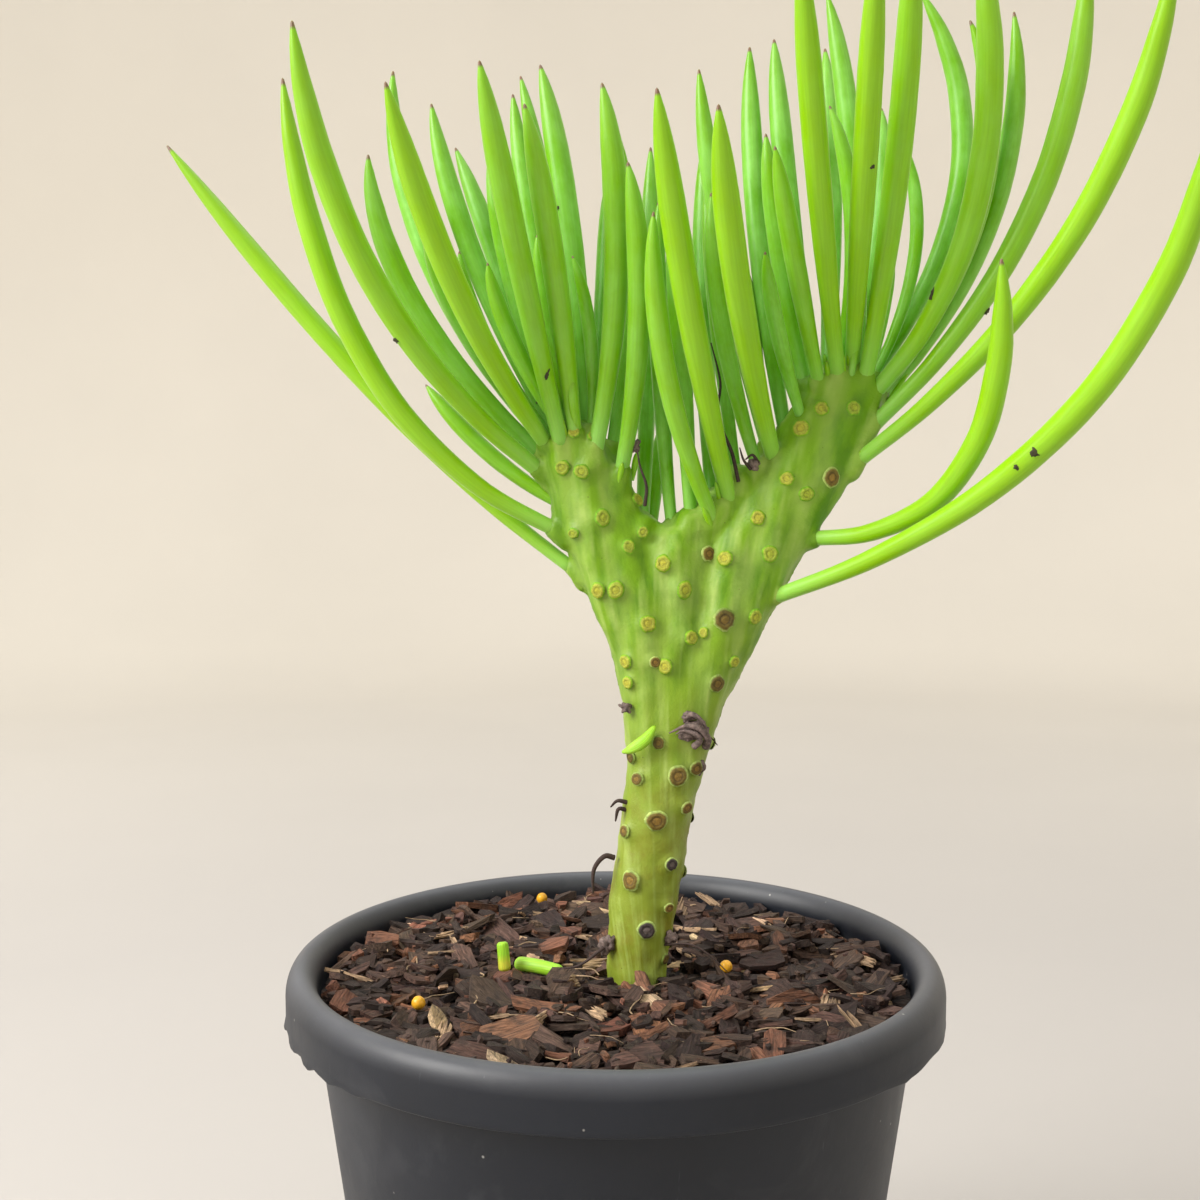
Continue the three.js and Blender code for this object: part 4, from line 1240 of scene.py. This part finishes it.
class CHALKSTICK_OT_bits(bpy.types.Operator):
    """Lay the broken leaf, the prills and the withered remains"""

    bl_idname = "chalkstick.bits"
    bl_label = "Loose bits"

    def execute(self, context):
        settings = context.scene.chalkstick_bits
        amber = plain_skin_material("prill_coat", settings.prill, 0.26, 500, 0.25, 0.0002)
        for node in PRILL_NODES:
            low, high = (Vector(c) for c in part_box(node))
            half = (high - low) / 2
            points, faces = ball((low + high) / 2, half, 0.0, 0.05, rng_for(node), 20, 28)
            add_piece(f"{node}_coat", points, faces, amber, "prill_coat", [node])
        green = (0.33, 0.66, 0.03, 1)
        yellow = (0.6, 0.62, 0.05, 1)
        tube_looks = broken_leaf_material("leaf_fragment", (0.38, 0.7, 0.06, 1), green)
        stub_looks = broken_leaf_material("leaf_stub", yellow, green)
        for node, looks, slot in (
            ("leaf_fragment_tube", tube_looks, "leaf_fragment"),
            ("leaf_fragment_stub", stub_looks, "leaf_stub"),
        ):
            mesh = cad_bmesh(node)
            spots = np.array([v.co[:] for v in mesh.verts])
            mesh.free()
            middle = spots.mean(axis=0)
            axis = np.linalg.svd(spots - middle)[2][0]
            if axis[0] + axis[2] < 0:
                axis = -axis
            reach = (spots - middle) @ axis
            wide = np.linalg.norm((spots - middle) - np.outer(reach, axis), axis=1).max()
            shares = np.linspace(0, 1, 24)
            centres = middle + np.outer(reach.min() + shares * (reach.max() - reach.min()), axis)
            centres[:, 2] += 0.25 * MM * np.sin(shares * math.pi)
            radii = wide * (0.97 - 0.1 * shares) * (1 - 0.35 * (2 * np.abs(shares - 0.5)) ** 14)
            loft = Loft()
            section = leaf_section(rng_for(node))
            loft.add(centres, radii, 22, across=(0.1, 0.9, 0.4), section=section, pointed=False)
            add_piece(f"{node}_skin", loft.points, loft.faces, looks, slot, [node], loft.values)
        dry = plain_skin_material("withered_skin", settings.withered, 0.7, 1100, 0.7, 0.0008)
        low, high = (Vector(c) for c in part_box("withered_scale"))
        centre = (low + high) / 2
        points, faces = ball(centre, (high - low) / 2, math.radians(-12), 0.3, rng_for("scale"), 30, 40)
        for i, p in enumerate(points):
            d = (p - centre) / MM
            fold = FOLD_DEPTH * math.sin((d.x * 0.8 + d.z) * FOLD_TURNS)
            points[i] = p + Vector((0, -abs(fold), 0.3 * fold))
        add_piece("withered_scale_skin", points, faces, dry, "withered_skin", ["withered_scale"])
        folds = Loft()
        for path, half in SCALE_FOLDS:
            add_thread(folds, [FOOT + Vector(p) * MM for p in path], half * MM, 10, 30, 0.15)
        store = (list(folds.points), list(folds.faces))
        for index, (x, y, z, half_x, half_z, lean) in enumerate(DRY_KNOBS):
            centre = FOOT + Vector((x, y, z)) * MM
            size = Vector((half_x, (half_x + half_z) / 2 * 0.8, half_z)) * MM
            merge_into(store, *ball(centre, size, lean, 0.7, rng_for("knob", index)))
        add_piece("withered_stubs", *store, dry, "withered_skin")
        threads = Loft()
        for points, half in DRY_THREADS:
            add_thread(threads, [FOOT + Vector(p) * MM for p in points], half * MM, 8, 30)
        torn = Loft()
        path, _, _ = smooth_path([FOOT + Vector(p) * MM for p in TORN_LEAF], TORN_LEAF_RINGS)
        radii = []
        for share in np.linspace(0, 1, TORN_LEAF_RINGS):
            radii.append(TORN_LEAF_HALF * MM * (0.15 + 0.85 * math.sin(math.pi * (0.04 + 0.86 * share))))
        torn.add(path, radii, 16, across=(0.2, 0.95, -0.2), section=flattened)
        add_piece("torn_leaf", torn.points, torn.faces, tube_looks, "leaf_skin", values=torn.values)
        dark = plain_skin_material("dry_thread", settings.thread, 0.75, 1500, 0.4)
        add_piece("dry_threads", threads.points, threads.faces, dark, "withered_skin", values=threads.values)
        return {"FINISHED"}


# ---------------------------------------------------------------- pot


def arc_points(centre, half, start, end, steps):
    places = []
    for step in range(steps + 1):
        angle = math.radians(start + (end - start) * step / steps)
        places.append((centre[0] + half[0] * math.cos(angle), centre[1] + half[1] * math.sin(angle)))
    return places


def straight(start, end, steps):
    """Places from start towards end, without the last."""
    return [
        (start[0] + (end[0] - start[0]) * i / steps, start[1] + (end[1] - start[1]) * i / steps)
        for i in range(steps)
    ]


def pot_profile(settings):
    """The pot's closed section as (radius, height), from the middle of its underside round to its floor."""
    wall = settings.wall
    lip_foot = RIM_TOP - settings.roll_drop
    roll_base = RIM_TOP - settings.roll_drop / 2
    middle = RIM_RADIUS - settings.roll_width / 2
    half = settings.roll_width / 2
    tall = RIM_TOP - roll_base
    flare_foot = roll_base - settings.flare
    outer_foot = (settings.wall_radius, flare_foot)
    inner_foot = (settings.wall_radius - wall, flare_foot)
    tuck = (RIM_RADIUS - settings.roll_width + wall, roll_base)
    widening = settings.wall_radius - settings.base_radius
    inner_floor = settings.base_radius + widening * settings.floor / flare_foot
    profile = [(0, 0)]
    profile += straight((8 * MM, 0), (settings.base_radius - 2 * MM, 0), 6)
    profile += arc_points((settings.base_radius - 2 * MM, 2 * MM), (2 * MM, 2 * MM), -90, 0, 5)
    profile += straight((settings.base_radius + 0.4 * MM, 3.5 * MM), outer_foot, 14)
    profile += straight(outer_foot, tuck, 4)
    profile += arc_points((middle, roll_base), (half - wall, tall - wall), 180, 0, 10)
    profile += straight((RIM_RADIUS - wall, roll_base - 1 * MM), (RIM_RADIUS - wall, lip_foot), 3)
    profile += arc_points((RIM_RADIUS - wall / 2, lip_foot), (wall / 2, wall * 0.3), 180, 360, 6)
    profile += straight((RIM_RADIUS, lip_foot + 1 * MM), (RIM_RADIUS, roll_base), 5)
    profile += arc_points((middle, roll_base), (half, tall), 0, 180, 22)
    profile += straight((RIM_RADIUS - settings.roll_width, roll_base - 1 * MM), inner_foot, 4)
    profile += straight(inner_foot, (inner_floor - wall, settings.floor + 2 * MM), 8)
    profile += arc_points((inner_floor - wall - 2 * MM, settings.floor + 2 * MM), (2 * MM, 2 * MM), 0, -90, 4)
    profile += [(8 * MM, settings.floor), (0, settings.floor)]
    return profile


# Moulding flash along the lip's foot: (middle in degrees round from +X, half width, share of its depth).
FLASH_SPANS = [
    (192, 2.2, 1.6), (203, 4, 0.9), (211, 3, 1.0), (219, 5, 0.9), (226, 3, 0.6),
    (322, 7, 0.45), (338, 5, 0.5),
]
DRAIN_HOLES, DRAIN_RING, DRAIN_RADIUS = 6, 36 * MM, 4.5 * MM


def flash_at(degrees):
    """How much moulding flash there is at a place round the lip."""
    total = 0.0
    for middle, half, share in FLASH_SPANS:
        gap = (degrees - middle + 180) % 360 - 180
        total = max(total, share * max(0.0, 1 - (gap / half) ** 2))
    return total


class CHALKSTICK_OT_pot(bpy.types.Operator):
    """Turn the nursery pot with its rolled rim and moulding flash"""

    bl_idname = "chalkstick.pot"
    bl_label = "Pot"

    def execute(self, context):
        settings = context.scene.chalkstick_pot
        profile = pot_profile(settings)
        lip_foot = RIM_TOP - settings.roll_drop
        sides = settings.segments
        points, faces, rings = [], [], []
        for radius, height in profile:
            if radius == 0:
                rings.append([len(points)])
                points.append((0, 0, height))
                continue
            ring = []
            for side in range(sides):
                angle = 2 * math.pi * side / sides
                degrees = math.degrees(angle)
                reach, rise = radius, height
                if height < lip_foot + 0.6 * MM and radius > RIM_RADIUS - settings.wall - 0.1 * MM:
                    torn = 0.6 + 0.5 * noise.noise(Vector((degrees * 0.45, 0, 3)))
                    extra = settings.flash * flash_at(degrees) * torn
                    rise -= extra
                    reach = min(reach + 0.35 * extra, RIM_RADIUS + 0.5 * MM)
                if height > lip_foot:
                    around = Vector((math.cos(angle) * 2, math.sin(angle) * 2, height * 40))
                    reach += 0.12 * MM * noise.noise(around)
                ring.append(len(points))
                points.append((reach * math.cos(angle), reach * math.sin(angle), rise))
            rings.append(ring)
        for low, high in zip(rings, rings[1:]):
            for side in range(sides):
                after = (side + 1) % sides
                if len(low) == 1:
                    faces.append((low[0], high[after], high[side]))
                elif len(high) == 1:
                    faces.append((low[side], low[after], high[0]))
                else:
                    faces.append((low[side], low[after], high[after], high[side]))
        pot = add_piece("pot_shell", points, faces, pot_material(settings), "pot_plastic", ["pot"])
        self.drill(pot)
        return {"FINISHED"}

    def drill(self, pot):
        """Cuts the six drain holes through the floor."""
        drills = bmesh.new()
        drill = {"cap_ends": True, "segments": 32, "radius1": DRAIN_RADIUS, "radius2": DRAIN_RADIUS}
        for hole in range(DRAIN_HOLES):
            angle = 2 * math.pi * (hole + 0.5) / DRAIN_HOLES
            spot = Matrix.Translation((DRAIN_RING * math.cos(angle), DRAIN_RING * math.sin(angle), 0))
            bmesh.ops.create_cone(drills, depth=10 * MM, matrix=spot, **drill)
        mesh = bpy.data.meshes.new("drills")
        drills.to_mesh(mesh)
        drills.free()
        cutter = bpy.data.objects.new("drills", mesh)
        bpy.context.scene.collection.objects.link(cutter)
        cut = pot.modifiers.new("drain_holes", "BOOLEAN")
        cut.operation = "DIFFERENCE"
        cut.object = cutter
        cut.solver = "EXACT"
        bpy.context.view_layer.update()
        made = bpy.data.meshes.new_from_object(pot.evaluated_get(bpy.context.evaluated_depsgraph_get()))
        if not made.polygons:
            raise RuntimeError("the drain holes could not be cut")
        pot.modifiers.clear()
        pot.data = made
        bpy.data.objects.remove(cutter)


# ---------------------------------------------------------------- stage


# The round bowl that serves as floor and backdrop, in metres: its flat, the radius of its corner and its top.
BOWL_FLAT, BOWL_CORNER, BOWL_TOP = 1.3, 0.6, 2.0
# The lights: place and size in metres, and tint.
LIGHTS = {
    "key": ((-1.1, -0.5, 0.95), 0.8, (1, 0.985, 0.96)),
    "fill": ((0.95, -0.7, 0.7), 1.0, (1, 0.99, 0.97)),
    "top": ((0.1, 0.25, 1.4), 1.2, (0.94, 0.97, 1)),
}
LIGHT_AIM = (0, 0, 0.2)
CAMERA_PLACE = (-0.0033, -0.318, 0.2256)


def area_light(name, spot, aim, size, power, colour):
    data = bpy.data.lights.new(name, "AREA")
    data.shape = "SQUARE"
    data.size = size
    data.energy = power
    data.color = colour
    lamp = bpy.data.objects.new(name, data)
    bpy.context.scene.collection.objects.link(lamp)
    lamp.location = spot
    lamp.rotation_euler = (Vector(aim) - Vector(spot)).to_track_quat("-Z", "Y").to_euler()


class CHALKSTICK_OT_stage(bpy.types.Operator):
    """Set the pale floor, the soft light and the camera"""

    bl_idname = "chalkstick.stage"
    bl_label = "Stage"

    def execute(self, context):
        settings = context.scene.chalkstick_stage
        scene = context.scene
        scene.view_settings.view_transform = "Standard"
        material, tree, shader = new_material("pale_floor", Roughness=0.75)
        veil = fractal(tree, place(tree), 3.0, 3, 0.5)
        reach = add_node(tree, "ShaderNodeVectorMath", {0: place(tree)}, operation="LENGTH").outputs["Value"]
        far = grey_ramp(tree, reach, 0.45, 1.5)
        body = mix_colour(tree, far, rgba(settings.floor), rgba(settings.backdrop))
        body = mix_colour(tree, 1.0, body, grey_ramp(tree, veil, 0.3, 0.7, 0.98, 1.02), "MULTIPLY")
        tree.links.new(body, shader.inputs["Base Color"])
        sides = 96
        profile = [(0.02, 0)] + [(BOWL_FLAT * i / 6, 0) for i in range(1, 7)]
        profile += arc_points((BOWL_FLAT, BOWL_CORNER), (BOWL_CORNER, BOWL_CORNER), -90, 0, 16)[1:]
        profile += [(BOWL_FLAT + BOWL_CORNER, BOWL_TOP)]
        points, faces = [], []
        for radius, height in profile:
            for side in range(sides):
                angle = 2 * math.pi * side / sides
                points.append((radius * math.cos(angle), radius * math.sin(angle), height))
        for row in range(len(profile) - 1):
            for side in range(sides):
                a = row * sides + side
                b = row * sides + (side + 1) % sides
                faces.append((a, b, b + sides, a + sides))
        faces.append(tuple(range(sides)))
        mesh = bpy.data.meshes.new("pale_floor")
        mesh.from_pydata(points, [], faces)
        mesh.polygons.foreach_set("use_smooth", [True] * len(mesh.polygons))
        mesh.materials.append(material)
        floor = bpy.data.objects.new("pale_floor", mesh)
        scene.collection.objects.link(floor)

        world = bpy.data.worlds.new("soft_sky")
        scene.world = world
        world.use_nodes = True
        world.node_tree.nodes["Background"].inputs["Color"].default_value = (1.0, 0.985, 0.96, 1)
        world.node_tree.nodes["Background"].inputs["Strength"].default_value = settings.sky
        powers = {"key": settings.key, "fill": settings.fill, "top": settings.top}
        for label, (spot, size, tint) in LIGHTS.items():
            area_light(f"{label}_light", spot, LIGHT_AIM, size, powers[label], tint)

        data = bpy.data.cameras.new("camera")
        data.lens = settings.lens
        data.sensor_width = 36
        data.clip_start = 0.01
        camera = bpy.data.objects.new("camera", data)
        scene.collection.objects.link(camera)
        camera.location = CAMERA_PLACE
        camera.rotation_euler = (math.pi / 2 - settings.tilt, 0, 0)
        scene.camera = camera
        return {"FINISHED"}


class CHALKSTICK_PT_panel(bpy.types.Panel):
    """Lists the steps that dress the plant"""

    bl_label = "Potted chalk stick"
    bl_idname = "CHALKSTICK_PT_panel"
    bl_space_type = "VIEW_3D"
    bl_region_type = "UI"
    bl_category = "Chalk Stick"

    def draw(self, context):
        for operator in STEPS:
            self.layout.operator(operator.bl_idname)
        for label, _ in SETTINGS:
            box = self.layout.box()
            settings = getattr(context.scene, label)
            for name in settings.bl_rna.properties.keys():
                if name not in ("rna_type", "name"):
                    box.prop(settings, name)


STEPS = (
    CHALKSTICK_OT_stage,
    CHALKSTICK_OT_pot,
    CHALKSTICK_OT_mulch,
    CHALKSTICK_OT_stem,
    CHALKSTICK_OT_leaves,
    CHALKSTICK_OT_bits,
)
SETTINGS = (
    ("chalkstick_pot", PotSettings),
    ("chalkstick_mulch", MulchSettings),
    ("chalkstick_stem", StemSettings),
    ("chalkstick_leaves", LeafSettings),
    ("chalkstick_bits", BitsSettings),
    ("chalkstick_stage", StageSettings),
)


def register():
    for label, settings in SETTINGS:
        bpy.utils.register_class(settings)
        setattr(bpy.types.Scene, label, bpy.props.PointerProperty(type=settings))
    for operator in STEPS:
        bpy.utils.register_class(operator)
    bpy.utils.register_class(CHALKSTICK_PT_panel)


def unregister():
    bpy.utils.unregister_class(CHALKSTICK_PT_panel)
    for operator in reversed(STEPS):
        bpy.utils.unregister_class(operator)
    for label, settings in reversed(SETTINGS):
        delattr(bpy.types.Scene, label)
        bpy.utils.unregister_class(settings)


def main():
    register()
    waxy_skin_group()
    dust_group()
    bpy.ops.chalkstick.stage()
    bpy.ops.chalkstick.pot()
    bpy.ops.chalkstick.mulch()
    bpy.ops.chalkstick.stem()
    bpy.ops.chalkstick.leaves()
    bpy.ops.chalkstick.bits()


if __name__ == "__main__":
    main()
